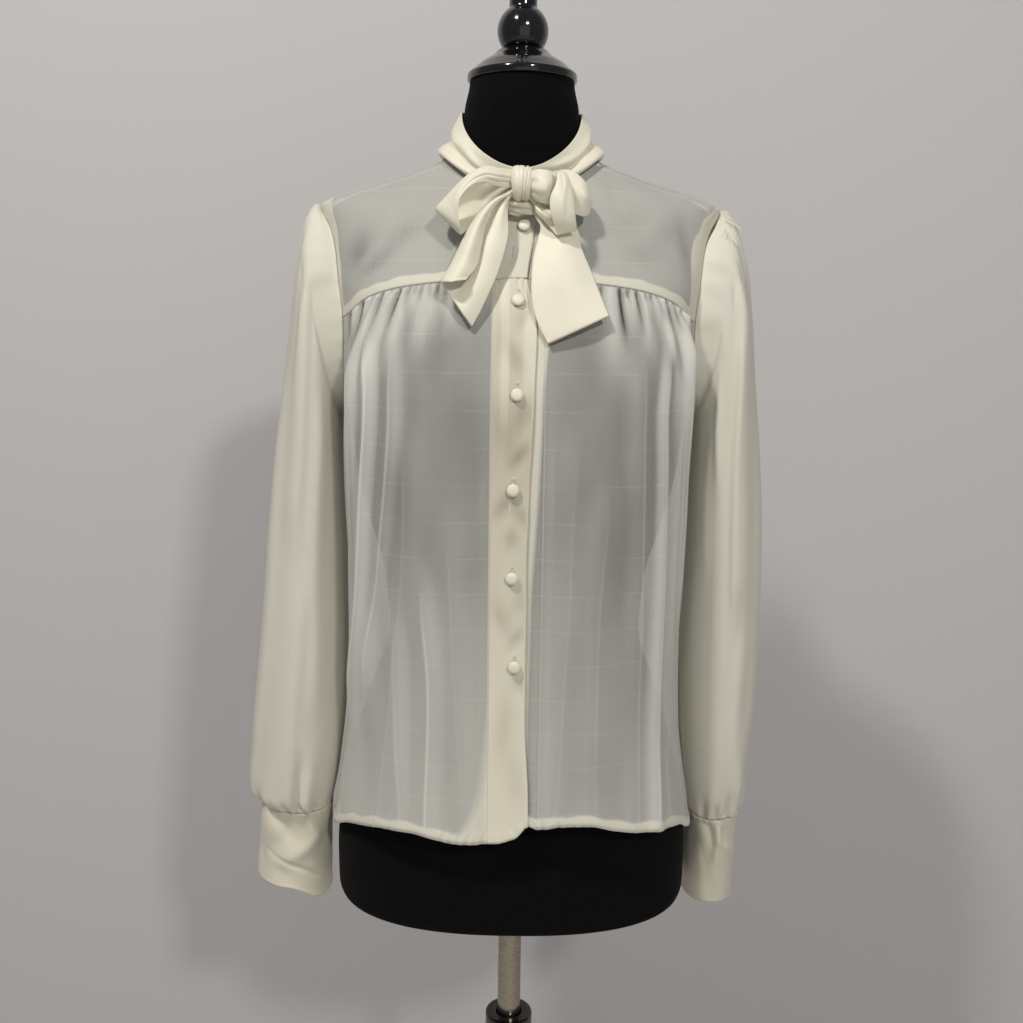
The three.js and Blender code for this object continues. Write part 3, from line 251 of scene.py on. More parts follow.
def section(table, z):
    """Half width, depth to the front and to the back, and power at a height, between a table's rows."""
    return [curve_through(table["z"], table[key], z) for key in ("half", "front", "back", "square")]


def outside(p):
    """0 on the worn surface, below 0 inside it."""
    half, front, back, square = section(CLOTH, p[..., 2])
    depth = np.where(p[..., 1] < 0, front, back)
    return np.abs(p[..., 0] / half) ** square + np.abs(p[..., 1] / depth) ** square - 1


def steepest(p, step=0.05):
    """The gradient of outside, by differences."""
    moves = step * np.eye(3)
    return np.stack([(outside(p + m) - outside(p - m)) / (2 * step) for m in moves], axis=-1)


def body_normals(p):
    """Unit normals of the worn surface: the gradient of outside over its own length."""
    return unit(steepest(p))


def onto_body(p):
    """Moves points straight onto the worn surface, by Newton's steps."""
    for _ in range(6):
        slope = steepest(p)
        p = p - slope * (outside(p) / np.sum(slope**2, axis=-1))[..., None]
    return p


def on_face(x, z, facing):
    """Points of the worn surface by x and z, on the front (-1) or the back (1)."""
    x, z = np.broadcast_arrays(np.asarray(x, float), np.asarray(z, float))
    half, front, back, square = section(CLOTH, z)
    depth = front if facing < 0 else back
    rest = np.maximum(0, 1 - np.abs(x / half) ** square)
    return stacked(x, facing * depth * rest ** (1 / square), z)


def on_side(y, z, side):
    """Points of the worn surface by y and z, on the right (-1) or the left (1)."""
    y, z = np.broadcast_arrays(np.asarray(y, float), np.asarray(z, float))
    half, front, back, square = section(CLOTH, z)
    depth = np.where(y < 0, front, back)
    return stacked(side * half * (1 - np.abs(y / depth) ** square) ** (1 / square), y, z)


# Neckline, armhole, yoke seam and hem, as the part has them.
SEAM_GAP = 0.4
NECKLINE = {"half": 64, "front_z": 1424, "side_z": 1465, "back_z": 1468, "curve": 1.5}
ARMHOLE = {"z": 1341, "tall": 85, "deep": 52}
YOKE_SEAM = columns("x z", [
    (0, 1364), (60, 1361), (92, 1357), (114, 1351.5), (126, 1346), (136, 1338), (145, 1333)
])
YOKE_END = 1333
HEM = columns("x z", [
    (-166, 877), (-158, 883), (-144, 895), (-125, 903), (-104, 909), (-78, 911), (-46, 905),
    (-20, 905), (3, 911), (13, 921), (20, 918), (38, 922), (63, 921), (83, 914), (104, 908),
    (126, 904), (145, 897), (158, 884), (166, 877),
])
BACK_HEM = {"side": 876, "middle": 868}
BAND = {"seam": 20, "under": -6, "lap_start": -19, "lap_full": -9, "neck": 15, "top": 6}
LAP_LIFT = 2.1


def armhole_point(side, angle):
    """The armhole by the angle from the shoulder tip: 90 is its front and 180 the underarm."""
    turn = np.radians(angle)
    return on_side(-ARMHOLE["deep"] * np.sin(turn), ARMHOLE["z"] + ARMHOLE["tall"] * np.cos(turn), side)


TIP = math.degrees(math.asin(SEAM_GAP / 2 / ARMHOLE["deep"]))


def armhole_angle(z):
    """The armhole's angle at a height on its front: the arc cosine of the height over its middle as a
    share of half its height."""
    return math.degrees(math.acos((z - ARMHOLE["z"]) / ARMHOLE["tall"]))


def neckline_point(side, angle):
    """The neckline by the angle from the centre front: 90 is the shoulder, 180 the centre back."""
    turn = np.radians(angle)
    x = side * NECKLINE["half"] * np.sin(turn)
    rise = np.abs(np.sin(turn)) ** NECKLINE["curve"]
    front = on_face(x, mix(NECKLINE["front_z"], NECKLINE["side_z"], rise), -1)
    back = on_face(x, mix(NECKLINE["back_z"], NECKLINE["side_z"], rise), 1)
    return np.where((np.asarray(angle) <= 90)[..., None], front, back)


def seam_z(x):
    """Height of the yoke seam, the same at x and -x."""
    return curve_through(YOKE_SEAM["x"], YOKE_SEAM["z"], np.abs(x))


def hem_z(x):
    """Height of the front hem."""
    return curve_through(HEM["x"], HEM["z"], x)


def lap_rise(x):
    """How far the outer band stands off the inner one, by x."""
    return LAP_LIFT * ease(BAND["lap_start"], BAND["lap_full"], x)


def patch(top, bottom, left, right):
    """The panel between four edges, moved onto the worn surface inside them."""
    down = (run(left) / run(left)[-1])[:, None, None]
    over = np.linspace(0, 1, len(top))[None, :, None]
    ruled = mix(top[None], bottom[None], down) + mix(left[:, None], right[:, None], over)
    corners = mix(mix(top[0], top[-1], over), mix(bottom[0], bottom[-1], over), down)
    points = ruled - corners
    points[1:-1, 1:-1] = onto_body(points[1:-1, 1:-1])
    points[0], points[-1], points[:, 0], points[:, -1] = top, bottom, left, right
    return points


# Nodes and materials.
def add_node(tree, kind, inputs=(), **settings):
    """A node with its settings, and with each input set to a value or linked from a socket."""
    node = tree.nodes.new(kind)
    for key, value in settings.items():
        setattr(node, key, value)
    for key, value in dict(inputs).items():
        socket = node.inputs[key]
        if isinstance(value, bpy.types.NodeSocket):
            tree.links.new(value, socket)
        else:
            socket.default_value = value
    return node


def start_material(name, rough, base=None, **sockets):
    """A material with a principled shader. Returns it, its tree and the shader."""
    material = bpy.data.materials.new(name)
    material.use_nodes = True
    tree = material.node_tree
    shader = tree.nodes["Principled BSDF"]
    shader.inputs["Roughness"].default_value = rough
    if base is not None:
        shader.inputs["Base Color"].default_value = (*base, 1)
    for key, value in sockets.items():
        shader.inputs[key.replace("_", " ")].default_value = value
    return material, tree, shader


def math_node(tree, operation, *values):
    """The result of an operation on one, two or three numbers or sockets."""
    return add_node(tree, "ShaderNodeMath", dict(enumerate(values)), operation=operation).outputs[0]


# The Mix node's colour sockets, whose names are those of its number sockets too.
MIX_FROM, MIX_TO, MIX_COLOUR = 6, 7, 2


def blend(tree, factor, low, high):
    """A colour from low to high by a factor from 0 to 1. Both are colours or sockets."""
    ends = [end if isinstance(end, bpy.types.NodeSocket) else (*end, 1) for end in (low, high)]
    inputs = {"Factor": factor, MIX_FROM: ends[0], MIX_TO: ends[1]}
    return add_node(tree, "ShaderNodeMix", inputs, data_type="RGBA").outputs[MIX_COLOUR]


def times(base, *shares):
    """A colour with each of its parts multiplied by its share, or all of them by one share."""
    return tuple(part * share for part, share in zip(base, shares * 3 if len(shares) == 1 else shares))


def object_place(tree):
    """Where a point is in its object's own coordinates."""
    return add_node(tree, "ShaderNodeTexCoord").outputs["Object"]


def stripe(tree, coordinate, spacing, wide):
    """1 on a line that repeats at a spacing, 0 between: the distance from the nearest line is
    the coordinate's remainder about half a spacing, and it fades out over the line's width."""
    part = math_node(tree, "FRACT", math_node(tree, "DIVIDE", coordinate, spacing))
    away = math_node(tree, "ABSOLUTE", math_node(tree, "SUBTRACT", part, 0.5))
    inputs = {"Value": away, "From Min": wide / spacing, "From Max": 0.25 * wide / spacing}
    return add_node(tree, "ShaderNodeMapRange", inputs, interpolation_type="SMOOTHSTEP").outputs[0]


def noise(tree, vector, size, stretch=(1, 1, 1), detail=3):
    """Noise with features of a real size in metres, stretched along an axis."""
    scale = tuple(1 / (size * s) for s in stretch)
    mapping = add_node(tree, "ShaderNodeMapping", {"Vector": vector, "Scale": scale})
    inputs = {"Vector": mapping.outputs[0], "Scale": 1, "Detail": detail}
    return add_node(tree, "ShaderNodeTexNoise", inputs).outputs["Fac"]


def scaled(tree, value, low, high, start=0.0, stop=1.0):
    """A value from start to stop as one from low to high."""
    inputs = {"Value": value, "From Min": start, "From Max": stop, "To Min": low, "To Max": high}
    return add_node(tree, "ShaderNodeMapRange", inputs).outputs[0]


def bumped(tree, shader, height, distance, strength):
    """Turns a shader's normals as if a height of 1 stood out by a distance in metres."""
    inputs = {"Height": height, "Distance": distance, "Strength": strength}
    bump = add_node(tree, "ShaderNodeBump", inputs)
    tree.links.new(bump.outputs[0], shader.inputs["Normal"])


def attribute(tree, name):
    """The value of one of the mesh's own attributes."""
    return add_node(tree, "ShaderNodeAttribute", attribute_name=name).outputs["Fac"]


# What one layer of the sheer cloth hides more of what is behind it where a noise, the slant or the
# bunch is 1, its least and most in all, and the range of a doubled edge. The bunch also carries
# painted light and shade.
VEIL = {"streak": 0.03, "cloud": 0.05, "slant": 0.16, "bunch": 0.24, "least": 0.03, "most": 0.85}
VEIL_DOUBLED = (0.72, 0.92)
CHECK_FAINT = 0.35
PLY_BLUR = 0.001


def sheer_polyester(name, base, cover, lines):
    """Sheer woven polyester: pale threads with gaps between them, a fine windowpane check in
    thicker yarn that shows in places, and creamier where the cloth lies double. Cover is the share
    that the threads of one layer hide and lines what the check adds. The attribute ply is the
    distance in metres inside a doubled edge. Slant is how steeply the cloth stands on a fold, and
    bunch how much of it is gathered up, and in both the eye meets more thread. Bunch also holds
    painted shade and painted light: lower, so the cloth is thinner and darker, in the troughs of
    gathers, in dents and beside the band's edge, and higher, so paler, on ridges and towards the hem."""
    sizes = bpy.context.scene.blouse_sizes
    colours = bpy.context.scene.blouse_colours
    material, tree, shader = start_material(name, 0.62, Sheen_Weight=0.15, Sheen_Roughness=0.4)
    cloth = add_node(tree, "ShaderNodeUVMap", uv_map="cloth").outputs[0]
    across, down = add_node(tree, "ShaderNodeSeparateXYZ", {0: cloth}).outputs[:2]
    upright = stripe(tree, across, sizes.check_across, sizes.check_line)
    level = stripe(tree, down, sizes.check_down, sizes.check_line)
    seen = scaled(tree, noise(tree, cloth, 0.07, (1, 1, 1), 1), 0.45, 1, 0.4, 0.6)
    faint = math_node(tree, "MULTIPLY", upright, CHECK_FAINT)
    check = math_node(tree, "MULTIPLY", math_node(tree, "MAXIMUM", faint, level), seen)
    streak = noise(tree, cloth, 0.0014, (1, 50, 1), 2)
    cloud = noise(tree, cloth, 0.028, (1, 2.2, 1), 2)
    bunch = attribute(tree, "bunch")
    hidden = cover - (VEIL["streak"] + VEIL["cloud"]) / 2
    for value, share in (
        (streak, VEIL["streak"]), (cloud, VEIL["cloud"]), (check, lines),
        (attribute(tree, "slant"), VEIL["slant"]), (bunch, VEIL["bunch"]),
    ):
        hidden = math_node(tree, "MULTIPLY_ADD", value, share, hidden)
    limits = {"Value": hidden, "Min": VEIL["least"], "Max": VEIL["most"]}
    single = add_node(tree, "ShaderNodeClamp", limits).outputs[0]
    edge = scaled(tree, attribute(tree, "ply"), 0, 1, -PLY_BLUR, PLY_BLUR)
    alpha = {"Factor": edge, "A": single, "B": scaled(tree, bunch, *VEIL_DOUBLED)}
    alpha = add_node(tree, "ShaderNodeMix", alpha, data_type="FLOAT").outputs[0]
    tint = blend(tree, scaled(tree, edge, 0, 0.7), base, colours.doubled)
    tree.links.new(tint, shader.inputs["Base Color"])
    tree.links.new(alpha, shader.inputs["Alpha"])
    # The real threads are about 0.1 mm apart. They are drawn 0.9 mm apart so that some show.
    warp = noise(tree, cloth, 0.0009, (1, 6, 1), 1)
    bumped(tree, shader, warp, 0.00012, 0.5)
    return material


# What is left of each part of the doubled cloth's colour where dim is 1: the dulling of two layers over the
# black form, and painted shade.
DULLED_AND_SHADED = (0.5, 0.48, 0.44)


def doubled_polyester(name, base, grain=0.0011):
    """The same polyester folded double or faced: opaque, smooth and faintly lustrous, with a
    crepe grain. The real grain is about 0.3 mm and is drawn coarser so that it shows. Where the
    attribute dim is above 0 it is duller and yellower. On the cuffs and the band that is the dulling
    of two layers over the black form. In the loops of the bow, under the knot, in the band's dents
    and over its upper part it is painted shade."""
    material, tree, shader = start_material(name, 0.5, Sheen_Weight=0.3, Sheen_Roughness=0.35)
    cloth = add_node(tree, "ShaderNodeUVMap", uv_map="cloth").outputs[0]
    cloud = noise(tree, cloth, 0.025, (1, 1.6, 1), 2)
    shade = blend(tree, cloud, times(base, 0.955), base)
    # Painted shade: dim darkens the colour in the bow's loops, under the knot and on the band, as well as
    # dulling two layers over the black form.
    shade = blend(tree, attribute(tree, "dim"), shade, times(base, *DULLED_AND_SHADED))
    tree.links.new(shade, shader.inputs["Base Color"])
    crepe = noise(tree, cloth, grain, (1, 1.4, 1), 3)
    bumped(tree, shader, crepe, 0.00016, 0.45)
    rough = scaled(tree, cloud, 0.46, 0.56)
    tree.links.new(rough, shader.inputs["Roughness"])
    return material


def black_jersey():
    """Knitted cotton jersey stretched over the form: near black, no gloss, with a faint nap."""
    base = bpy.context.scene.blouse_colours.jersey
    looks = {"Sheen_Weight": 0.015, "Specular_IOR_Level": 0.1}
    material, tree, shader = start_material("black cotton jersey", 0.95, **looks)
    place = object_place(tree)
    nap = noise(tree, place, 0.006, (1, 1, 1), 4)
    shade = blend(tree, nap, times(base, 0.6), times(base, 1.5))
    tree.links.new(shade, shader.inputs["Base Color"])
    # Knit loops of about 0.5 mm, drawn 1.4 mm so that the ribs show close up.
    loops = noise(tree, place, 0.0014, (1, 1, 2), 1)
    bumped(tree, shader, loops, 0.0002, 0.4)
    return material


def black_lacquer():
    """Turned wood under black gloss lacquer: a hard clear gloss with faint waves."""
    base = bpy.context.scene.blouse_colours.lacquer
    looks = {"Coat_Weight": 0.6, "Coat_Roughness": 0.05}
    material, tree, shader = start_material("black gloss lacquer", 0.12, base, **looks)
    place = object_place(tree)
    bumped(tree, shader, noise(tree, place, 0.012), 0.00025, 0.25)
    dust = noise(tree, place, 0.004, (1, 1, 1), 5)
    tree.links.new(scaled(tree, dust, 0.08, 0.22, 0.35, 0.75), shader.inputs["Roughness"])
    return material


def black_enamel():
    """Steel tube and plate under black baked enamel: glossy, with a fine orange peel."""
    base = bpy.context.scene.blouse_colours.enamel
    looks = {"Coat_Weight": 0.4, "Coat_Roughness": 0.08}
    material, tree, shader = start_material("black baked enamel", 0.2, base, **looks)
    place = object_place(tree)
    bumped(tree, shader, noise(tree, place, 0.0025), 0.00008, 0.4)
    smear = noise(tree, place, 0.03, (1, 1, 3), 4)
    tree.links.new(scaled(tree, smear, 0.14, 0.3, 0.35, 0.7), shader.inputs["Roughness"])
    return material


def plated_nickel():
    """Bright nickel plate on a steel pole, with fine marks round it from sliding in the column and
    darker lengthwise bands in its colour."""
    base = bpy.context.scene.blouse_colours.nickel
    material, tree, shader = start_material("nickel plate", 0.2, base, Metallic=1.0)
    place = object_place(tree)
    marks = noise(tree, place, 0.02, (1, 1, 0.03), 3)
    dark_bands = noise(tree, place, 0.01, (1, 1, 0.002), 1)
    tone = blend(tree, scaled(tree, dark_bands, 0, 1, 0.42, 0.56), times(base, 0.3), base)
    tree.links.new(tone, shader.inputs["Base Color"])
    tree.links.new(scaled(tree, marks, 0.14, 0.32, 0.3, 0.7), shader.inputs["Roughness"])
    bumped(tree, shader, marks, 0.00003, 0.3)
    return material


# Turning grids into meshes.
def grid_faces(rows, across, closed):
    """Corner numbers of the quads of a grid, whose last column meets the first if closed."""
    steps = across if closed else across - 1
    r, c = np.meshgrid(np.arange(rows - 1), np.arange(steps), indexing="ij")
    after = (c + 1) % across
    corners = [r * across + c, r * across + after, (r + 1) * across + after, (r + 1) * across + c]
    return np.stack(corners, axis=-1).reshape(-1, 4)


def make_object(name, points, material, closed=False, cloth=None, marks=None, outward=None, merge=False):
    """An object from a grid of points in millimetres. Cloth is its UV in millimetres, one column
    wider than the points where the grid is closed. Marks are attributes. The faces are turned to
    point away from outward, or from the points' mean. Merge joins the points that share a place."""
    rows, across = points.shape[:2]
    faces = grid_faces(rows, across, closed)
    flat = points.reshape(-1, 3) * MM
    a, b, c, d = (flat[faces[:, i]] for i in range(4))
    normals = np.cross(c - a, d - b)
    centres = (a + b + c + d) / 4
    from_point = np.mean(flat, axis=0) if outward is None else np.asarray(outward) * MM
    flip = np.sum(normals * (centres - from_point)) < 0
    if flip:
        faces = faces[:, ::-1]
    mesh = bpy.data.meshes.new(name)
    mesh.from_pydata(flat.tolist(), [], faces.tolist())
    if cloth is not None:
        corners = grid_faces(rows, cloth.shape[1], False)
        corners = corners[:, ::-1] if flip else corners
        layer = mesh.uv_layers.new(name="cloth")
        layer.data.foreach_set("uv", (cloth.reshape(-1, 2)[corners.ravel()] * MM).ravel())
    for key, values in (marks or {}).items():
        layer = mesh.attributes.new(key, "FLOAT", "POINT")
        layer.data.foreach_set("value", np.asarray(values, float).ravel())
    if merge:
        made = bmesh.new()
        made.from_mesh(mesh)
        bmesh.ops.remove_doubles(made, verts=made.verts, dist=2e-6)
        made.to_mesh(mesh)
        made.free()
    mesh.shade_smooth()
    mesh.materials.append(material)
    piece = bpy.data.objects.new(name, mesh)
    bpy.context.scene.collection.objects.link(piece)
    return piece


def thicken(piece, wall):
    """Gives a sheet its thickness, half on each side, with closed edges."""
    modifier = piece.modifiers.new("wall", "SOLIDIFY")
    modifier.thickness = wall
    modifier.offset = 0
    modifier.use_even_offset = True
    return piece


def settle(piece, nodes, body="form"):
    """Puts a piece in place of its CAD nodes, if it has any, on their body, and hides the nodes."""
    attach(piece, body)
    if nodes:
        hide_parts(*nodes)
    return piece


# Looks of the sheer cloth by where it is: name, colour, what one layer hides and what the check
# adds. On the yokes it lies flat on the form, and in a sleeve its far side is behind it.
SHEERS = {
    "body": ("sheer polyester", "sheer", 0.22, 0.045),
    "yoke": ("sheer polyester yoke", "sheer", 0.37, 0.035),
    "sleeve": ("sheer polyester sleeve", "sleeve", 0.64, 0.03),
}


def shared(make, name, *values):
    """A material made once, by a function of its name and other values, and used again."""
    return bpy.data.materials.get(name) or make(name, *values)


def sheer(part):
    """The sheer cloth of a part of the blouse."""
    name, key, cover, lines = SHEERS[part]
    return shared(sheer_polyester, name, getattr(bpy.context.scene.blouse_colours, key), cover, lines)


def cream_doubled():
    """The doubled cloth."""
    return shared(doubled_polyester, "doubled polyester", bpy.context.scene.blouse_colours.doubled)


def slant_of(lift, points):
    """How steeply a lift stands on its surface: its change across a column over the column's
    width, as a share that is 0 on flat cloth."""
    wide = np.maximum(np.linalg.norm(np.gradient(points, axis=1), axis=-1), 0.2)
    return np.clip(np.abs(np.gradient(lift, axis=1)) / wide, 0, 1.2)


# Folds of the front panels. A gather has its place along the yoke seam, how far it stands out or,
# below 0, how deep it is, how far down it goes, its width at the seam and how far it drifts
# sideways by its end.
GATHER = "x rise fall wide drift"
GATHERS = {
    "right": columns(GATHER, [
        (-137, -2.2, 34, 1.5, -2), (-131, 2.8, 90, 2.4, -4), (-125.5, -3.4, 66, 2.2, -9),
        (-119, 3.8, 130, 2.3, -13), (-115.5, -3.0, 58, 1.4, -13), (-112, 2.6, 84, 2.0, -14),
        (-107.5, -2.8, 44, 1.4, -12), (-103, 3.6, 120, 2.2, -15), (-100, -2.4, 30, 1.2, -9),
        (-97, 2.2, 46, 1.8, -12), (-93, -2.8, 40, 1.4, -9), (-89, 3.4, 80, 2.1, -10),
        (-86, -2.8, 26, 1.3, -5), (-83, 1.8, 26, 1.5, -4), (-81, -2.2, 14, 1.0, -2),
        (-79, 2.0, 36, 1.6, -5), (-76, -2.4, 20, 1.1, -2), (-73, 3.0, 70, 2.1, -4),
        (-70.5, -2.8, 22, 1.1, 1), (-68, 2.4, 50, 1.9, -1), (-64, -2.4, 16, 1.0, 0),
        (-60, 1.8, 34, 1.8, 0), (-57, -2.2, 22, 1.1, 0), (-53, 2.2, 50, 2.0, 1),
        (-49, -2.0, 18, 1.0, 0), (-45, 1.6, 30, 1.8, 1), (-41, -2.0, 16, 1.0, 1),
        (-37, 1.8, 40, 2.2, 2), (-33, -1.8, 18, 1.0, 1), (-28, 1.4, 30, 2.0, 2),
    ]),
    "left": columns(GATHER, [
        (26, 1.4, 28, 2.0, -1), (30, -1.8, 18, 1.0, 0), (34, 1.8, 40, 2.0, -1),
        (38.5, -2.0, 20, 1.0, 0), (43, 1.6, 30, 1.9, 0), (47.5, -2.0, 16, 1.0, 0),
        (52, 2.0, 44, 2.0, 1), (56, -2.0, 14, 1.0, 0), (60, 1.6, 20, 1.5, 0), (64, -2.6, 12, 1.1, 0),
        (72, 2.6, 90, 3.8, 2), (79, -4.6, 56, 1.5, 2), (82.5, 2.2, 34, 1.6, 1),
        (85.5, -3.0, 13, 1.5, -1), (88.5, 2.2, 44, 1.8, 2), (92, -3.8, 44, 1.4, 5),
        (96, 2.8, 70, 2.2, 5), (98.7, -2.4, 11, 1.1, 2), (101, 1.8, 24, 1.5, 3),
        (104, -2.4, 10, 1.1, 1), (106.5, 2.0, 40, 1.7, 6), (109, -2.8, 30, 1.2, 8),
        (112, 3.8, 130, 2.0, 15), (116, -2.8, 28, 1.3, 9), (120, 2.2, 50, 1.7, 10),
        (123, -3.0, 36, 1.3, 9), (126, 2.6, 60, 1.8, 9), (129.5, -2.8, 40, 1.5, 6),
        (133, 4.0, 140, 2.4, 2), (139, -3.6, 66, 2.4, 2),
    ]),
}
CRINKLE = {"rise": 0.35, "pitch": 2.3, "fall": 5}
# A gather is full a short way below its seam and fades out from a share of its own length on. By
# its end it has widened by a share of its width.
GATHER_FULL = 3
GATHER_FADE = 0.2
GATHER_SPREAD = 1.5


def fold_rows(*rows):
    """Folds from rows of a line, its rise, its two widths and, if it lies over itself, its turn."""
    return [dict(zip(("line", "rise", "wide", "turn"), row)) for row in rows]


# Long folds of the front. Each is a line of (z, x) points down the cloth, how far it stands out,
# its width above and below, and how far the cloth lies over itself at its turn.
LONG_FOLDS = {
    "right": fold_rows(
        ([(1320, -129), (1282, -132), (1230, -135), (1160, -134)], 5, (4, 7), 0.8),
        ([(1320, -118), (1272, -116), (1191, -120), (1082, -128), (996, -137)], 6.5, (3.4, 7), 1.5),
        ([(1315, -99), (1242, -97), (1144, -105), (1024, -121)], 5, (4, 8), 0.7),
        ([(1240, -84), (1140, -86), (1020, -96), (905, -110)], 5, (9, 13), 0.15),
        ([(1125, -71), (1039, -66), (905, -70)], 6, (6, 10), 0.75),
        ([(1180, -52), (1040, -47), (905, -40)], 3, (9, 12), 0.1),
        ([(1100, -92), (985, -92), (905, -90)], 3.2, (5, 8), 0.3),
    ),
    "left": fold_rows(
        ([(1335, 134), (1270, 134), (1180, 134), (1080, 132)], 6, (3.4, 6), 0.9),
        ([(1310, 118), (1255, 112), (1124, 114), (986, 115), (895, 120)], 6.5, (3.2, 5), 1.2),
        ([(1310, 98), (1220, 96), (1120, 98), (980, 101), (905, 104)], 4, (8, 12), 0.3),
        ([(1210, 70), (1090, 64), (960, 66), (915, 68)], 4.5, (11, 14), 0.15),
        ([(1240, 44), (1120, 42), (1000, 38), (920, 36)], 3.5, (9, 12), 0.1),
        ([(1020, 130), (960, 128), (896, 134)], 4, (6, 9), 0.3),
    ),
}

# Painted light: how much more of the cloth is drawn, so that it looks paler, towards its hem, where it
# hangs clear of the form and catches more light.
LOW_PAINTED_LIGHT = {"right": 1.0, "left": 0.75}
HEM_BUNCH = 1.2

# Soft hollows pressed into the cloth: where each lies, how deep it is, its half width and half
# height, and how far it leans to the side over its height.
DENT = "x z deep wide tall lean"
HOLLOWS = {
    "right": columns(DENT, [
        (-66, 1300, 2.2, 13, 26, 6), (-44, 1235, 1.8, 16, 40, -4), (-88, 1180, 2.0, 12, 60, -8),
        (-36, 1130, 1.6, 12, 34, 5), (-110, 1110, 2.2, 9, 70, -6), (-58, 985, 2.0, 10, 60, 2),
        (-122, 960, 1.8, 9, 50, -5),
    ]),
    "left": columns(DENT, [
        (60, 1290, 2.2, 15, 28, -8), (88, 1240, 1.6, 12, 40, 4), (40, 1170, 1.8, 12, 44, 2),
        (82, 1140, 2.2, 14, 60, 5), (50, 1030, 1.6, 14, 50, -6), (100, 1030, 1.8, 9, 70, 2),
        (74, 950, 1.6, 16, 34, -10),
    ]),
}


def gather_lift(table, seat, fall):
    """Ridges and troughs that start full at a seam, swing aside and widen as they fall and fade
    out at their own length, with a fine crinkle on the stitches."""
    total = CRINKLE["rise"] * np.sin(2 * np.pi * seat / CRINKLE["pitch"]) * np.exp(-fall / CRINKLE["fall"])
    for x, rise, reach, wide, drift in zip(*table.values()):
        down = np.clip(fall / reach, 0, 1)
        spread = wide * (1 + GATHER_SPREAD * down)
        shown = ease(0, GATHER_FULL, fall) * (1 - ease(GATHER_FADE, 1, down))
        total = total + rise * shown * bell(seat - x - drift * (1 - (1 - down) ** 2), spread)
    return total


# A fold that ends above this height fades out below. The others reach the hem.
OPEN_BELOW = 950


def fold_lift(folds, points):
    """Ridges whose middle follows a smooth line down the cloth, tapered at both ends."""
    total = 0
    for fold in folds:
        line = np.array(fold["line"], float)[::-1]
        low, high = line[0, 0], line[-1, 0]
        middle = curve_through(line[:, 0], line[:, 1], points[..., 2])
        down = np.clip((high - points[..., 2]) / (high - low), 0, 1)
        wide = mix(fold["wide"][0], fold["wide"][1], down)
        shown = ease(high + 25, high - 35, points[..., 2])
        if low > OPEN_BELOW:
            shown = shown * ease(low - 60, low + 40, points[..., 2])
        total = total + fold["rise"] * shown * bell(points[..., 0] - middle, wide)
    return total


def fold_marks(folds, points):
    """Where the cloth of a ridge lies over itself: a thin line at its turn, and a strip beside it
    towards the middle that is as wide as the ridge and fades out."""
    total = 0
    for fold in folds:
        line = np.array(fold["line"], float)[::-1]
        middle = curve_through(line[:, 0], line[:, 1], points[..., 2])
        outward = np.sign(middle) * (points[..., 0] - middle)
        shown = ease(line[-1, 0] + 5, line[-1, 0] - 60, points[..., 2])
        if line[0, 0] > OPEN_BELOW:
            shown = shown * ease(line[0, 0] - 30, line[0, 0] + 80, points[..., 2])
        wide = fold["wide"][1]
        strip = ease(-1.6 * wide, -0.4 * wide, outward) * ease(0.9, -0.3, outward)
        total = total + fold["turn"] * shown * (1.4 * bell(outward, 0.75) + 0.4 * strip)
    return total


def hollow_lift(table, points):
    """Leaning oval dents, each a bell both ways."""
    total = 0
    for x, z, deep, wide, tall, lean in zip(*table.values()):
        up = (points[..., 2] - z) / tall
        total = total - deep * bell(points[..., 0] - x - lean * up, wide) * bell(up, 0.7)
    return total


def bust_lift(points):
    """The bust as a bell across and, in height, one bell above its point and a longer one below."""
    tall = np.where(points[..., 2] > BUST["z"], BUST["cloth_tall"], BUST["fall"])
    across = bell(np.abs(points[..., 0]) - BUST["x"], BUST["wide"])
    return np.where(points[..., 1] > 0, 0, BUST["cloth"] * across * bell(points[..., 2] - BUST["z"], tall))


def clear_of_seams(points):
    """1 on the open cloth, 0 at the side seams and at the button band."""
    half = section(CLOTH, points[..., 2])[0]
    x = np.abs(points[..., 0])
    band = np.where(points[..., 1] < 0, ease(BAND["seam"], BAND["seam"] + 10, x), 1)
    return band * (1 - ease(half - 9, half - 1.5, x))


def hem_pucker(distance, along):
    """Slanting puckers across the hem, uneven along it and strongest on its stitches."""
    depth = bpy.context.scene.blouse_sizes.hem_depth / MM
    wave = np.sin(along / 1.05 + 0.45 * distance) + 0.6 * np.sin(along / 1.75 + 0.35 * distance + 1.2)
    uneven = 0.6 + 0.4 * np.sin(along / 13)
    return 0.6 * wave * uneven * bell(distance - 0.55 * depth, 0.45 * depth)


# Where the folded facing of the right front ends, by height, and where the underlap of the left
# front does. Both are hidden from the front but for what shows through or beside the band.
FACING = columns("z x", [(900, -50), (920, -38), (945, -28), (985, -22.5), (1040, -18), (1400, -18)])
UNDERLAP = columns("z x", [
    (900, 10), (1100, 12), (1198, 16.5), (1247, 18.5), (1280, 19.5), (1318, 22.5), (1400, 22.5)
])
# How sharp those two ends look through the cloth over them.
FACING_EDGE = {"right": 0.22, "left": 0.6}
OUTER_EDGE = columns("z x", [
    (905, 13), (935, 12.6), (1010, 9), (1140, 8.6), (1198, 10), (1225, 11), (1280, 12.8), (1318, 14),
    (1345, 11), (1364, 6)
])
# Columns along the yoke seam and the lower armhole, rows down, and how the rows crowd upwards.
FRONT_GRID = {"seam": 211, "armhole": 25, "down": 146, "crowd": 1.3}
# How far a doubled edge stands out over the single cloth beside it, and over what width it does.
PLY_RISE = 0.35
PLY_STEP = 0.4


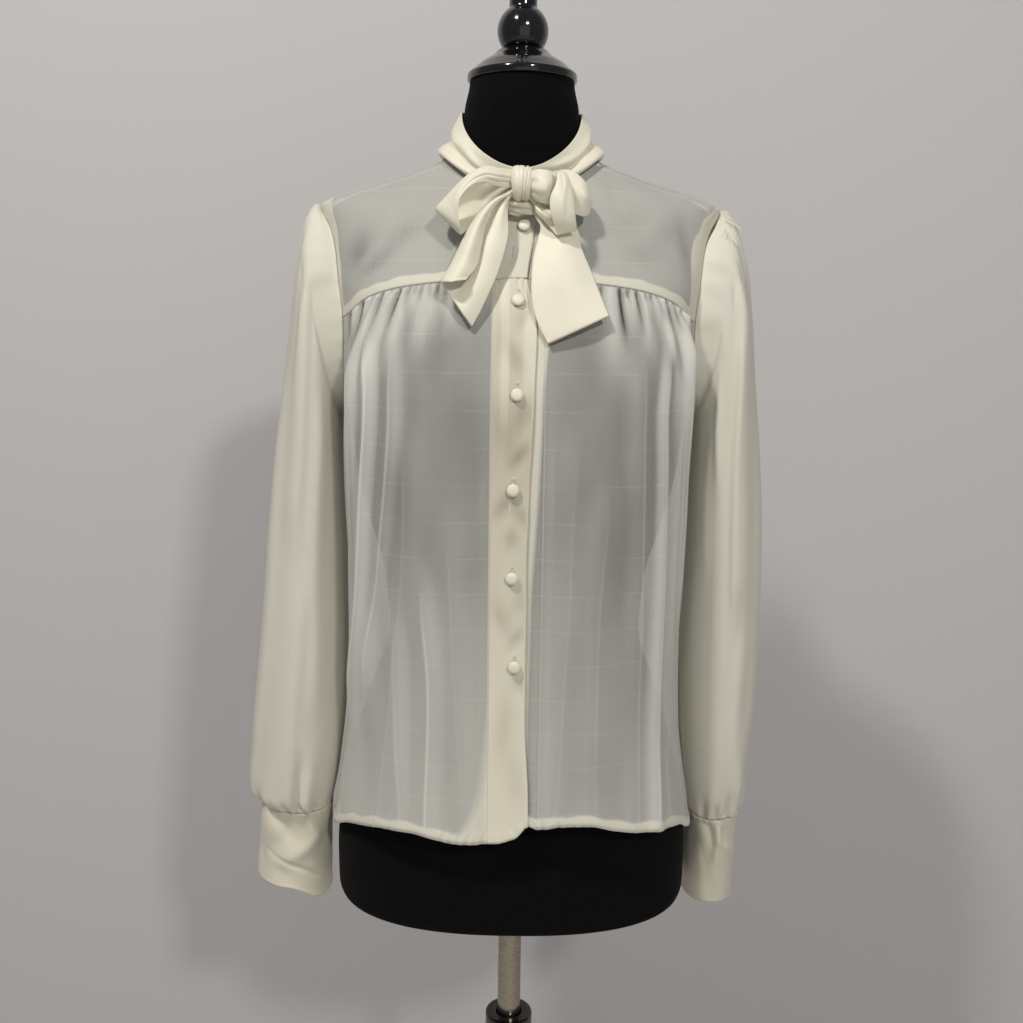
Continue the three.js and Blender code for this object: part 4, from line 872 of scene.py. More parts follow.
def front_cloth(name, side):
    """A front panel: yoke seam and lower armhole above, hem below, band seam and side seam."""
    sizes = bpy.context.scene.blouse_sizes
    top_z = YOKE_END - SEAM_GAP / 2
    turn = armhole_angle(top_z)
    junction = armhole_point(side, turn)
    start = side * (BAND["seam"] + SEAM_GAP / 2)

    def seam(t):
        """The yoke seam, from the band to the armhole."""
        x = mix(start, junction[0], t)
        return on_face(x, seam_z(x) - SEAM_GAP / 2, -1)

    upper = evenly(seam, FRONT_GRID["seam"])
    upper[-1] = junction
    lower = evenly(lambda t: armhole_point(side, mix(turn, 180 - TIP, t)), FRONT_GRID["armhole"])
    top = np.concatenate([upper, lower[1:]])
    fractions = np.linspace(0, 1, FRONT_GRID["down"]) ** FRONT_GRID["crowd"]
    side_top = top[-1]
    side_bottom = on_side(-SEAM_GAP / 2, BACK_HEM["side"], side)
    right = on_side(-SEAM_GAP / 2, mix(side_top[2], side_bottom[2], fractions), side)
    left = on_face(start, mix(upper[0, 2], hem_z(start), fractions), -1)

    def hem(t):
        """The hem, from the band to the side seam: a sine of t, for it turns back there."""
        x = mix(start, side_bottom[0], np.sin(np.pi / 2 * t))
        return on_face(x, hem_z(x), -1)

    bottom = evenly(hem, len(top))
    bottom[-1] = side_bottom
    points = patch(top, bottom, left, right)
    beyond = run(lower)[1:] * side + junction[0]
    seat = np.concatenate([upper[:, 0], beyond])[None, :]
    fall = top[None, :, 2] - points[..., 2]
    seat = np.broadcast_to(seat, fall.shape)
    under_seam = np.broadcast_to((np.arange(len(top)) < len(upper) - 1)[None, :], fall.shape)
    word = "right" if side < 0 else "left"
    open_cloth = clear_of_seams(points)
    gathers = gather_lift(GATHERS[word], seat, fall) * under_seam
    folds = fold_lift(LONG_FOLDS[word], points) + hollow_lift(HOLLOWS[word], points)
    from_hem = run(points[::-1])[::-1]
    along_hem = run(bottom)[None, :]
    lift = gathers + open_cloth * (bust_lift(points) + folds) + hem_pucker(from_hem, along_hem)
    hem = sizes.hem_depth / MM * (1 + 0.1 * np.sin(along_hem / 5)) - from_hem
    edge = FACING if side < 0 else UNDERLAP
    facing = side * (curve_through(edge["z"], edge["x"], points[..., 2]) - points[..., 0])
    ply = np.maximum(hem, FACING_EDGE[word] * facing)
    placed = points + body_normals(points) * (lift + PLY_RISE * ease(-PLY_STEP, PLY_STEP, hem))[..., None]
    cloth = stacked(np.broadcast_to(along_hem, fall.shape), YOKE_SEAM["z"][0] - placed[..., 2])
    # Painted light: the cloth is drawn denser, so paler, towards the hem.
    low = ease(1230, 930, points[..., 2]) * LOW_PAINTED_LIGHT[word]
    beside = 0.5 * ease(95, 150, np.abs(points[..., 0]))
    # Painted shade and light as well as gathered cloth: the troughs of the gathers are drawn thinner, so
    # darker, and their ridges thicker, so paler.
    bunch = np.clip(gathers / 2.2, -1.3, 1.0) + 0.3 * np.exp(-fall / 40) * under_seam + low + beside
    bunch = mix(bunch, HEM_BUNCH, ease(-1, 1, hem)) + fold_marks(LONG_FOLDS[word], points) * open_cloth
    # Painted shade: the cloth is drawn thinner, so darker, in the hollows.
    bunch = bunch + 0.08 * hollow_lift(HOLLOWS[word], points)
    marks = {"ply": ply * MM, "slant": slant_of(lift, points), "bunch": bunch}
    piece = make_object(name, placed, sheer("body"), cloth=cloth, marks=marks, outward=(0, 0, 1100))
    thicken(piece, sizes.sheer_wall)
    settle(piece, [f"front_{word}"])
    return piece


# Width of the facing behind a yoke's front edge.
YOKE_FACING = 34
YOKE_GRID = {"neck": 51, "shoulder": 51, "down": 71}

# Width of the armhole's allowance over the yoke seam's, at the shoulder, below it and at the end.
ARMHOLE_ALLOWANCE = {"right": [2.6, 2.2, 0.5], "left": [0.7, 1.0, 1.9]}
YOKE_DENTS = {
    "right": columns(DENT, [
        (-134, 1384, 3.4, 7, 16, 5), (-120, 1372, 1.5, 5, 12, 12), (-108, 1384, 1.2, 6, 16, 14),
        (-92, 1400, 1.0, 12, 10, 8), (-20, 1398, 1.6, 4, 16, -3), (-6, 1384, 1.8, 4, 14, 5),
    ]),
    "left": columns(DENT, [
        (136, 1392, 2.0, 5, 22, -4), (118, 1400, 1.2, 10, 14, 8), (100, 1384, 1.2, 14, 10, -8),
        (84, 1408, 0.9, 12, 12, 8),
    ]),
}


def yoke_cloth(name, side, at_neck, at_seam, lapped):
    """A front yoke: neckline and shoulder seam above, yoke seam below, front edge and armhole."""
    sizes = bpy.context.scene.blouse_sizes
    bottom_z = YOKE_END + SEAM_GAP / 2
    turn = armhole_angle(bottom_z)
    junction = armhole_point(side, turn)
    edge_angle = math.degrees(math.asin(side * at_neck / NECKLINE["half"]))

    def neck(t):
        """The neckline, from the front edge to the shoulder seam and no further back."""
        point = neckline_point(side, mix(edge_angle, 90, t))
        seam = on_side(-SEAM_GAP / 2, point[..., 2], side)
        return np.where((point[..., 1] > -SEAM_GAP / 2)[..., None], seam, point)

    def shoulder(t):
        """The shoulder seam, from the neck to the armhole."""
        return on_side(-SEAM_GAP / 2, mix(neck_line[-1, 2], tip[2], t), side)

    neck_line = evenly(neck, YOKE_GRID["neck"])
    tip = armhole_point(side, TIP)
    top = np.concatenate([neck_line, evenly(shoulder, YOKE_GRID["shoulder"])[1:]])

    def seam(t):
        """The yoke seam, from the front edge to the armhole."""
        x = mix(at_seam, junction[0], t)
        return on_face(x, seam_z(x) + SEAM_GAP / 2, -1)

    bottom = evenly(seam, len(top))
    bottom[-1] = junction
    down = np.linspace(0, 1, YOKE_GRID["down"])
    right = armhole_point(side, mix(TIP, turn, down))
    left = on_face(mix(at_neck, at_seam, down), mix(neck_line[0, 2], bottom[0, 2], down), -1)
    points = patch(top, bottom, left, right)
    word = "right" if side < 0 else "left"
    from_top, from_seam = run(points), run(points[::-1])[::-1]
    from_front, from_armhole = run(points, axis=1), run(points[:, ::-1], axis=1)[:, ::-1]
    allowance = sizes.allowance / MM * (1 + 0.07 * np.sin(from_front / 7) + 0.05 * np.sin(from_front / 3.1))
    shoulder_part = ease(len(neck_line) - 4, len(neck_line), np.arange(len(top)))[None, :]
    ply = np.maximum.reduce([
        allowance - from_seam,
        allowance * curve_through([0, 20, 80], ARMHOLE_ALLOWANCE[word], from_top) - from_armhole,
        (0.75 * allowance - from_top) - 9 * (1 - shoulder_part),
        YOKE_FACING - from_front,
    ])
    wave = np.sin(from_armhole / 17 + from_top / 31) * np.sin(from_top / 23 + 0.7 * side)
    quiet = ease(0, 22, from_armhole) * ease(0, 20, from_seam)
    quiet = quiet * ease(0, 16, from_top) * ease(30, 48, from_front)
    dents = hollow_lift(YOKE_DENTS[word], points) * ease(0, 4, from_armhole) * ease(0, 4, from_seam)
    rise = LAP_SHARE * lap_rise(points[..., 0]) if lapped else 0
    pucker = 0.16 * np.sin(from_front / 0.9) * bell(from_seam, 1.6)
    lift = rise + 0.9 * wave * quiet + dents + pucker + 0.3 * ease(-0.4, 0.4, ply)
    placed = points + body_normals(points) * np.asarray(lift)[..., None]
    cloth = stacked(from_front, YOKE_SEAM["z"][0] - points[..., 2])
    # Painted shade: the cloth is drawn thinner, so darker, in the yoke's dents.
    marks = {"ply": ply * MM, "slant": 0 * ply, "bunch": 0.18 * dents}
    piece = make_object(name, placed, sheer("yoke"), cloth=cloth, marks=marks, outward=(0, 0, 1380))
    thicken(piece, sizes.sheer_wall)
    settle(piece, [f"yoke_{word}"])
    return piece


# Puckers of the button band: each dent's place, depth, half width, half height and lean.
BAND_DENTS = columns(DENT, [
    (-12, 1372, 1.2, 5, 8, 6), (-3, 1378, 1.0, 4, 7, -5), (5, 1334, 1.0, 4, 9, 3),
    (-12, 1318, 1.1, 4, 22, 2), (-2, 1300, 1.2, 4, 12, -4), (6, 1258, 1.4, 5, 14, 4),
    (-11, 1240, 1.0, 5, 20, -3), (2, 1226, 1.3, 4, 10, 5), (-10, 1186, 1.5, 5, 12, 5),
    (4, 1178, 1.3, 5, 12, -6), (-3, 1160, 1.2, 4, 10, 0), (7, 1110, 1.2, 5, 14, 3),
    (-11, 1094, 1.2, 5, 16, -4), (2, 1080, 1.3, 4, 10, 4), (6, 1040, 1.2, 5, 12, -5),
    (-8, 1000, 1.2, 6, 30, 3), (3, 955, 1.0, 6, 26, -3),
])


# Share of the CAD lap's height that the thinner cloth needs.
LAP_SHARE = 0.7
BAND_TUCK = {"wide": 1.8, "deep": 0.7, "up": 1.6, "down": 0.5}

# How dull the outer band is drawn by height: most over the bust and under the bow, which is
# painted shade as well as the dulling of two layers over the black form. It is less so in strips
# of its width, where the facing under it lies double.
BAND_DIM = columns("z dim", [
    (905, 0), (960, 0), (1040, 0.1), (1110, 0.28), (1180, 0.45), (1250, 0.72), (1330, 0.6),
    (1380, 0.3)
])
BAND_STRIPS = columns("x dim", [
    (-22, 1), (-14.5, 0.85), (-13.5, 0.5), (-8, 0.55), (-7, 1), (2, 0.9), (5, 0.6), (12, 0.5),
    (16, 0.7)
])
BAND_GRID = {"down": 191, "across": 29}


def band_cloth(name, node, outer):
    """One half of the button band: a strip of the front between a seam, where it is tucked under
    the sheer cloth, and its free edge, with puckers between the buttons."""
    sizes = bpy.context.scene.blouse_sizes
    down = np.linspace(0, 1, BAND_GRID["down"])[:, None]
    over = np.linspace(0, 1, BAND_GRID["across"])[None, :]
    seam = BAND["seam"] - SEAM_GAP / 2 + BAND_TUCK["wide"]
    middle_z = mix(seam_z(0), hem_z(0), down)
    if outer:
        x = mix(-seam, curve_through(OUTER_EDGE["z"], OUTER_EDGE["x"], middle_z), over)
    else:
        x = mix(BAND["under"], seam, over) + 0 * down
    z = mix(seam_z(x) + BAND_TUCK["up"], hem_z(x), down)
    points = on_face(x, z, -1)
    inside = ease(0, 0.12, over) * ease(0, 0.1, 1 - over)
    tucked = BAND_TUCK["deep"] * ease(1.2 * BAND_TUCK["wide"], 0.3 * BAND_TUCK["wide"], seam - np.abs(x))
    free = ease(0.6, 1, over if outer else 1 - over)
    top_pucker = 0.5 * np.sin(x / 0.95) * bell(seam_z(x) - z, 6) * ease(2, 8, x + 8)
    ripple = top_pucker + 0.6 * np.sin(z / 17) * np.sin(z / 43 + 1.3) * free
    dents = 1.5 * hollow_lift(BAND_DENTS, points) * inside * (1 if outer else 0.3)
    roll = 0.3 * bell(over - 0.98, 0.02) if outer else 0
    lift = (LAP_SHARE * lap_rise(x) if outer else 0) + dents + ripple + roll
    lift = lift - BAND_TUCK["down"] * ease(2.2, -0.4, seam_z(x) - z)
    lift = lift - tucked * (x * (-1 if outer else 1) > 0)
    from_hem = z - hem_z(x)
    hem = sizes.hem_depth / MM - from_hem
    lift = lift + hem_pucker(from_hem, x) + PLY_RISE * ease(-PLY_STEP, PLY_STEP, hem)
    placed = points + body_normals(points) * lift[..., None]
    cloth = stacked(x + 60, YOKE_SEAM["z"][0] - z)
    if outer:
        # Painted shade and the dulling of two layers: the band's colour is darkest over the bust and under
        # the bow.
        dim = curve_through(BAND_DIM["z"], BAND_DIM["dim"], z)
        strips = curve_through(BAND_STRIPS["x"], BAND_STRIPS["dim"], x)
        # Painted shade: the band is drawn duller in its dents.
        dim = dim * mix(strips, 1, ease(1300, 1200, z)) - 0.16 * np.clip(dents, -2, 0)
        marks = {"dim": np.clip(dim, 0, 1)}
        piece = make_object(name, placed, cream_doubled(), cloth=cloth, marks=marks, outward=(0, 0, 1100))
        thicken(piece, sizes.doubled_wall * 0.6)
    else:
        ply = curve_through(UNDERLAP["z"], UNDERLAP["x"], z) - x
        # Painted shadow: the inner band is drawn thinner, so darker, in a strip beside the outer band's
        # edge.
        shade = 0.5 * bell(x - curve_through(OUTER_EDGE["z"], OUTER_EDGE["x"], z) - 1, 2.5)
        # Painted light: denser, so paler, towards the hem.
        bunch = LOW_PAINTED_LIGHT["left"] * ease(1230, 930, z) + 0.1 - shade
        bunch = mix(bunch, HEM_BUNCH, ease(-1, 1, hem))
        marks = {"ply": np.maximum(0.6 * ply, hem) * MM, "slant": 0 * x, "bunch": bunch}
        piece = make_object(name, placed, sheer("body"), cloth=cloth, marks=marks, outward=(0, 0, 1100))
        thicken(piece, sizes.sheer_wall)
    settle(piece, [node])
    return piece


# Columns along the yoke ends' level, an underarm, half the neck and a shoulder, and rows of the
# lower patch, which crowd upwards, and of the upper one.
BACK_GRID = {"level": 101, "underarm": 21, "neck": 26, "down": 101, "crowd": 1.1, "up": 41}
BACK_FOLDS = fold_rows(
    ([(1400, -92), (1250, -98), (1080, -108), (880, -118)], 6, (9, 16), 0.5),
    ([(1380, -44), (1220, -50), (1050, -58), (880, -64)], 5, (8, 14), 0.35),
    ([(1395, 10), (1200, 13), (1040, 18), (872, 20)], 5, (9, 15), 0.45),
    ([(1380, 60), (1210, 66), (1050, 76), (880, 84)], 6, (8, 14), 0.4),
    ([(1390, 108), (1240, 116), (1080, 124), (880, 130)], 5, (9, 13), 0.5),
    ([(1150, -20), (1000, -22), (872, -26)], 3.5, (6, 10), 0.3),
    ([(1120, 44), (990, 48), (872, 54)], 3, (6, 9), 0.3),
)


def back_cloth():
    """The back in one piece. Its columns run from the neck and shoulders or the armholes down
    to the hem: an upper patch and a lower patch that share the level of the yoke's ends."""
    sizes = bpy.context.scene.blouse_sizes
    turn = 360 - armhole_angle(YOKE_END)
    corners = [armhole_point(side, turn) for side in (-1, 1)]
    ends = corners[0][0], corners[1][0]
    level = evenly(lambda t: on_face(mix(*ends, t), YOKE_END, 1), BACK_GRID["level"])
    level[0], level[-1] = corners

    def underarm(side):
        """The back of the armhole, from the underarm up to the level of the yoke's ends."""
        return evenly(lambda t: armhole_point(side, mix(180 + TIP, turn, t)), BACK_GRID["underarm"])

    top = np.concatenate([underarm(-1), level[1:-1], underarm(1)[::-1]])
    fractions = np.linspace(0, 1, BACK_GRID["down"]) ** BACK_GRID["crowd"]
    edges = []
    for side in (-1, 1):
        start = underarm(side)[0]
        edges.append(on_side(SEAM_GAP / 2, mix(start[2], BACK_HEM["side"], fractions), side))
    hem_end = on_side(SEAM_GAP / 2, BACK_HEM["side"], 1)[0]

    def hem(t):
        """The back hem: a parabola in the cosine of t, which runs from one side to the other."""
        turned = np.cos(np.pi * t)
        return on_face(-hem_end * turned, mix(BACK_HEM["middle"], BACK_HEM["side"], turned**2), 1)

    bottom = evenly(hem, len(top))
    bottom[0], bottom[-1] = edges[0][-1], edges[1][-1]
    lower = patch(top, bottom, *edges)

    def neck(side):
        """The back neckline, from the shoulder seam to the middle."""
        def line(t):
            """A point of it that is never in front of the shoulder seam."""
            point = neckline_point(side, mix(90.01, 180, t))
            seam = on_side(SEAM_GAP / 2, point[..., 2], side)
            return np.where((point[..., 1] < SEAM_GAP / 2)[..., None], seam, point)
        return evenly(line, BACK_GRID["neck"])

    def shoulder(side):
        """The shoulder seam, from the armhole to the neck."""
        start, stop = armhole_point(side, 360 - TIP)[2], neck(side)[0][2]
        return evenly(lambda t: on_side(SEAM_GAP / 2, mix(start, stop, t), side), BACK_GRID["neck"])

    upper_top = np.concatenate([shoulder(-1), neck(-1)[1:], neck(1)[::-1][1:], shoulder(1)[::-1][1:]])
    rise = np.linspace(0, 1, BACK_GRID["up"])
    upper_edges = [armhole_point(side, mix(360 - TIP, turn, rise)) for side in (-1, 1)]
    upper = patch(upper_top, level, *upper_edges)
    allowance = sizes.allowance / MM
    pieces = []
    for points, is_lower in ((upper, False), (lower, True)):
        from_top, from_end = run(points), run(points[::-1])[::-1]
        from_left, from_right = run(points, axis=1), run(points[:, ::-1], axis=1)[:, ::-1]
        beside = ease(120, 146, np.abs(points[..., 0])) * ease(1200, 1280, points[..., 2])
        lift = clear_of_seams(points) * (1 - beside) * fold_lift(BACK_FOLDS, points)
        sides = allowance - np.minimum(from_left, from_right)
        ply = np.maximum(sides, allowance - from_top)
        if is_lower:
            ply = np.maximum(sides, sizes.hem_depth / MM - from_end)
            lift = lift + hem_pucker(from_end, run(bottom)[None, :])
        lift = lift + PLY_RISE * ease(-PLY_STEP, PLY_STEP, ply)
        placed = points + body_normals(points) * lift[..., None]
        cloth = stacked(points[..., 0] + 200, YOKE_SEAM["z"][0] - points[..., 2])
        # Painted shade and light: the bunch rises with the lift, so ridges of the back's folds are paler
        # and troughs darker.
        bunch = 0.5 + fold_marks(BACK_FOLDS, points) * clear_of_seams(points) + 0.04 * lift
        marks = {"ply": ply * MM, "slant": slant_of(lift, points), "bunch": bunch}
        pieces.append(make_object("back_part", placed, sheer("body"), False, cloth, marks, (0, 0, 1100)))
    return join("back_cloth", pieces)


def join(name, pieces):
    """One object from several, with the points that they share merged."""
    made = bmesh.new()
    for piece in pieces:
        made.from_mesh(piece.data)
    bmesh.ops.remove_doubles(made, verts=made.verts, dist=2e-5)
    bmesh.ops.recalc_face_normals(made, faces=made.faces)
    joined = pieces[0]
    made.to_mesh(joined.data)
    made.free()
    for piece in pieces[1:]:
        bpy.data.objects.remove(piece)
    joined.name = name
    joined.data.shade_smooth()
    return joined


# Sleeves: rings of the part's own table, and the folds on them by angle round the sleeve, where
# 0 is the far side, 90 the front and 180 next to the body.
RING = "inner_x inner_z outer_x outer_z y depth"
SLEEVES = {
    "right": columns(RING, [
        (154, 1251, 176, 1424, 0, 53.5), (154, 1238, 184, 1400, 0, 56), (154, 1214, 193, 1350, 0, 58),
        (153, 1182, 202, 1295, 0, 58), (153, 1142, 210.5, 1228, 0, 57), (153, 1092, 219, 1158, 0, 56),
        (153, 1036, 226, 1083, -1, 55), (155, 982, 233.5, 1010, -2, 54), (160, 936, 239, 950, -3, 52),
        (164, 910, 241.5, 918, -3, 50), (167, 896, 240, 904, -4, 46), (169, 887, 232, 895, -4, 39),
    ]),
    "left": columns(RING, [
        (154, 1251, 177, 1423, 0, 53.5), (154, 1238, 187, 1401, 1, 56), (154, 1214, 198, 1352, 2, 58),
        (153.5, 1182, 206, 1297, 3, 58), (153.5, 1142, 213, 1230, 5, 57),
        (153.5, 1092, 220, 1158, 7, 56), (154, 1036, 223.5, 1083, 10, 55),
        (156, 980, 224.5, 1004, 13, 53), (160, 928, 223, 942, 16, 50), (163, 900, 221, 908, 19, 47),
        (165.5, 886, 219, 892, 21, 44), (167, 876, 215, 880, 22, 40),
    ]),
}
SLEEVE_STAND = 0.7
SLEEVE_GRID = {"around": 150, "down": 136}
# Share of its width by which a gather of a sleeve has widened at its reach.
RING_SPREAD = 0.8
RING_GATHER = "angle rise reach wide"
CAP_GATHERS = {
    "right": columns(RING_GATHER, [
        (-60, 1.8, 50, 4), (-46, 2.6, 90, 4), (-33, 2.0, 60, 3.5), (-21, 2.8, 80, 4),
        (-9, 2.2, 70, 3.5), (3, 3.0, 110, 4), (14, 2.4, 60, 3.5), (25, 3.4, 140, 4.5),
        (36, 2.2, 60, 3.5), (46, 3.2, 110, 4), (57, 2.4, 70, 4), (69, 2.8, 150, 5),
    ]),
    "left": columns(RING_GATHER, [
        (-60, 1.8, 60, 4), (-45, 2.4, 80, 4), (-31, 2.2, 60, 3.5), (-18, 2.8, 90, 4),
        (-6, 2.2, 60, 3.5), (7, 3.2, 120, 4), (20, 2.4, 70, 3.5), (33, 3.4, 140, 4),
        (47, 2.6, 60, 3.5), (60, 3.6, 110, 4), (74, 2.6, 130, 5), (90, 2.2, 150, 5),
    ]),
}
CUFF_GATHERS = {
    "right": columns(RING_GATHER, [
        (10, 2.2, 40, 6), (34, 2.8, 60, 6), (47, -2.2, 26, 3.5), (62, 2.4, 44, 6), (80, 2.2, 36, 5),
        (89, -2.2, 22, 3), (97, 2.6, 50, 4.5), (108, -6.0, 78, 3.6), (119, 4.2, 90, 6.5),
        (137, -2.0, 30, 4), (205, 1.6, 40, 7), (232, 2.4, 54, 7), (258, 2.0, 42, 7), (284, 2.8, 70, 8),
        (310, 2.0, 44, 7), (336, 2.4, 52, 7),
    ]),
    "left": columns(RING_GATHER, [
        (8, 2.0, 40, 6), (30, 2.4, 50, 6), (47, -2.0, 26, 4), (62, 4.0, 110, 5), (76, -3.0, 34, 3.5),
        (87, 2.2, 40, 5), (97, -2.6, 24, 3), (108, 2.6, 56, 5), (122, -2.0, 30, 4), (136, 2.2, 44, 6),
        (205, 1.6, 40, 7), (232, 2.4, 54, 7), (258, 2.0, 42, 7), (284, 2.8, 70, 8), (310, 2.0, 44, 7),
        (336, 2.4, 52, 7),
    ]),
}

# Long folds of a sleeve: (share of the way down, angle) points, rise, and the width in degrees on
# the side away from the body and on the side next to it.
SLEEVE_FOLDS = {
    "right": fold_rows(
        ([(0.02, 66), (0.12, 78), (0.3, 84), (0.5, 80)], 3.6, (12, 6)),
        ([(0.1, 116), (0.45, 112), (0.8, 118)], 2.8, (8, 10)),
        ([(0.25, 40), (0.6, 44), (0.97, 34)], 3.2, (14, 8)),
        ([(0.5, 96), (0.8, 92), (0.99, 96)], 3.0, (10, 6)),
        ([(0.1, 300), (0.5, 310), (0.95, 322)], 3.0, (13, 13)),
        ([(0.3, 255), (0.6, 262), (0.95, 270)], 2.4, (13, 13)),
    ),
    "left": fold_rows(
        ([(0.03, 58), (0.15, 76), (0.32, 86), (0.5, 88), (0.62, 82)], 6.5, (20, 3.5)),
        ([(0.06, 104), (0.2, 110), (0.34, 106)], 3.2, (5, 5)),
        ([(0.12, 122), (0.3, 130), (0.5, 128)], 2.4, (6, 8)),
        ([(0.25, 40), (0.55, 46), (0.9, 50)], 3.2, (12, 9)),
        ([(0.55, 70), (0.8, 76), (0.99, 64)], 3.0, (10, 7)),
        ([(0.1, 302), (0.5, 312), (0.95, 318)], 3.0, (13, 13)),
        ([(0.3, 258), (0.6, 252), (0.95, 262)], 2.4, (13, 13)),
    ),
}

# The torn part of the left armhole's seam: where it is round the armhole, how wide it is, how far
# the sleeve hangs off it and how far down that reaches.
TEAR = {"angle": 36, "wide": 7, "open": 1.4, "reach": 12}


def ring_points(ring, side, angle):
    """Points of a ring between its near and far points from the body, deep front to back."""
    turn = np.radians(angle)
    far = (1 + np.cos(turn)) / 2
    x = side * mix(ring["inner_x"], ring["outer_x"], far)
    y = ring["y"] - ring["depth"] * np.sin(turn)
    z = mix(ring["inner_z"], ring["outer_z"], far)
    return stacked(x, y, z)


def turn_between(a, b):
    """The smallest turn in degrees between two angles."""
    return (a - b + 180) % 360 - 180


def ring_gathers(table, angle, fallen, full):
    """Ridges round a sleeve by angle and distance from a seam. Each is full a short way from it,
    widens as it goes and fades out at its own reach."""
    total = 0
    for at, rise, reach, wide in zip(*table.values()):
        share = fallen / reach
        spread = wide * (1 + RING_SPREAD * np.clip(share, 0, 1))
        shown = ease(0, full, fallen) * (1 - ease(GATHER_FADE, 1, share))
        total = total + rise * shown * bell(turn_between(angle, at), spread)
    return total


def sleeve_cloth(word, side):
    """A sleeve: the armhole's loop just off the body, then ring by ring down to the cuff."""
    table = SLEEVES[word]
    around = SLEEVE_GRID["around"]
    angle = np.arange(around) * 360 / around
    armhole = armhole_point(side, angle) + np.array([side * SLEEVE_STAND, 0, 0])
    rings = [armhole]
    for i in range(len(table["y"])):
        rings.append(ring_points({key: values[i] for key, values in table.items()}, side, angle))
    rings = np.array(rings)
    knots = np.mean(run(rings), axis=1)
    share = np.linspace(0, 1, SLEEVE_GRID["down"])
    where = knots[-1] * (share - 0.06 * np.sin(4 * np.pi * share))
    points = spline(knots, rings, where)
    normals = grid_normals(points, closed=True)
    centre = np.mean(points, axis=1, keepdims=True)
    if np.sum(normals * (points - centre)) < 0:
        normals = -normals
    down = (where / knots[-1])[:, None]
    fallen = where[:, None]
    to_cuff = knots[-1] - fallen
    angle = np.broadcast_to(angle[None, :], points.shape[:2])
    inner = 1 - 0.8 * ease(110, 150, 180 - np.abs(angle - 180))
    lift = ring_gathers(CAP_GATHERS[word], angle, fallen, 6)
    lift = lift + inner * ring_gathers(CUFF_GATHERS[word], angle, to_cuff, 4)
    for fold in SLEEVE_FOLDS[word]:
        line = np.array(fold["line"], float)
        middle = curve_through(line[:, 0], line[:, 1], down)
        first, last = line[0, 0], line[-1, 0]
        shown = ease(first - 0.04, first + 0.12, down) * (1 - ease(last - 0.12, last + 0.02, down))
        away = turn_between(angle, middle)
        wide = np.where(away < 0, *fold["wide"])
        lift = lift + inner * fold["rise"] * shown * bell(away, wide)
    lift = lift + 0.3 * np.sin(np.radians(angle) * 31) * (np.exp(-fallen / 5) + np.exp(-to_cuff / 5))
    ply = 1.5 - np.minimum(fallen, to_cuff) + 0 * angle
    placed = points + normals * lift[..., None]
    if side > 0:
        torn = TEAR["open"] * bell(turn_between(angle, TEAR["angle"]), TEAR["wide"])
        torn = torn * np.exp(-fallen / TEAR["reach"])
        placed = placed + torn[..., None] * np.array([1, -0.3, -0.8])
    round_it = np.linspace(0, 330, around + 1)[None, :]
    cloth = stacked(round_it, np.broadcast_to(fallen, (len(where), 1)))
    bunch = 0.5 * np.exp(-fallen / 30) + 0.5 * np.exp(-to_cuff / 18) + 0 * angle
    marks = {"ply": ply * MM, "slant": 0.7 * slant_of(lift, points), "bunch": bunch}
    middle = (side * 195, 0, 1100)
    piece = make_object(f"sleeve_{word}_cloth", placed, sheer("sleeve"), True, cloth, marks, middle)
    thicken(piece, bpy.context.scene.blouse_sizes.sheer_wall)
    settle(piece, [f"sleeve_{word}"])
    return piece


CUFFS = {
    "right": {"inner_x": 171, "inner_z": 803, "outer_x": 238, "outer_z": 817, "y": -4, "depth": 38},
    "left": {"inner_x": 167, "inner_z": 788, "outer_x": 213, "outer_z": 791, "y": 25, "depth": 41},
}
CUFF_LAP = {"start": -28, "lap": 18, "ramp_from": 26, "ramp_to": 3, "lift": 2.6, "button_drop": 0.2}
CUFF_GAP = 0.7
# How dull the cuffs look: two layers, with nothing pale behind them.
CUFF_DIM = 0.28
CUFF_GRID = {"down": 45, "around": 161}

# Dents and, below 0, bulges of the cuffs by angle and share of the way down, and how far the
# lower edge hangs above or below its ring.
CUFF_DENT = "angle down deep wide tall lean"
CUFF_DENTS = {
    "right": columns(CUFF_DENT, [
        (88, 0.2, 4.6, 13, 0.13, 14), (66, 0.12, 2.2, 6, 0.1, 20), (118, 0.1, 2.4, 7, 0.08, 6),
        (110, 0.68, 2.8, 12, 0.07, 60), (82, 0.8, 2.2, 14, 0.1, 10), (70, 0.42, 2.0, 12, 0.14, -30),
        (45, 0.2, -2.4, 14, 0.14, 0), (112, 0.45, -2.6, 12, 0.14, -40), (30, 0.62, 1.6, 12, 0.16, 20),
        (150, 0.3, 1.4, 12, 0.2, 0), (220, 0.5, 1.8, 16, 0.3, 10), (280, 0.4, 1.8, 16, 0.25, -10),
    ]),
    "left": columns(CUFF_DENT, [
        (104, 0.13, 3.8, 9, 0.12, -20), (86, 0.2, -3.4, 6, 0.18, 0), (66, 0.17, 2.8, 8, 0.1, -30),
        (58, 0.36, -2.4, 9, 0.12, -50), (108, 0.46, 2.4, 14, 0.14, 20), (70, 0.62, 1.8, 14, 0.12, -20),
        (96, 0.8, 1.4, 16, 0.1, 0), (140, 0.3, 1.4, 12, 0.2, 0), (220, 0.5, 1.8, 16, 0.3, 10),
        (280, 0.4, 1.8, 16, 0.25, -10),
    ]),
}
CUFF_EDGE = {
    "right": columns("angle up", [
        (-40, 5), (0, 8), (35, 4.5), (75, 6), (95, 7), (114, 4), (134, -2), (160, -3), (200, 1),
        (270, 4), (345, 7)
    ]),
    "left": columns("angle up", [
        (-40, 4), (0, 4), (25, 1), (55, 3.5), (95, 5), (140, 4), (180, 4), (270, 2), (345, 4)
    ]),
}


def cuff_rings(word):
    """The upper and the lower ring of a cuff."""
    upper = {key: values[-1] for key, values in SLEEVES[word].items()}
    upper["inner_z"] -= CUFF_GAP
    upper["outer_z"] -= CUFF_GAP
    return upper, CUFFS[word]


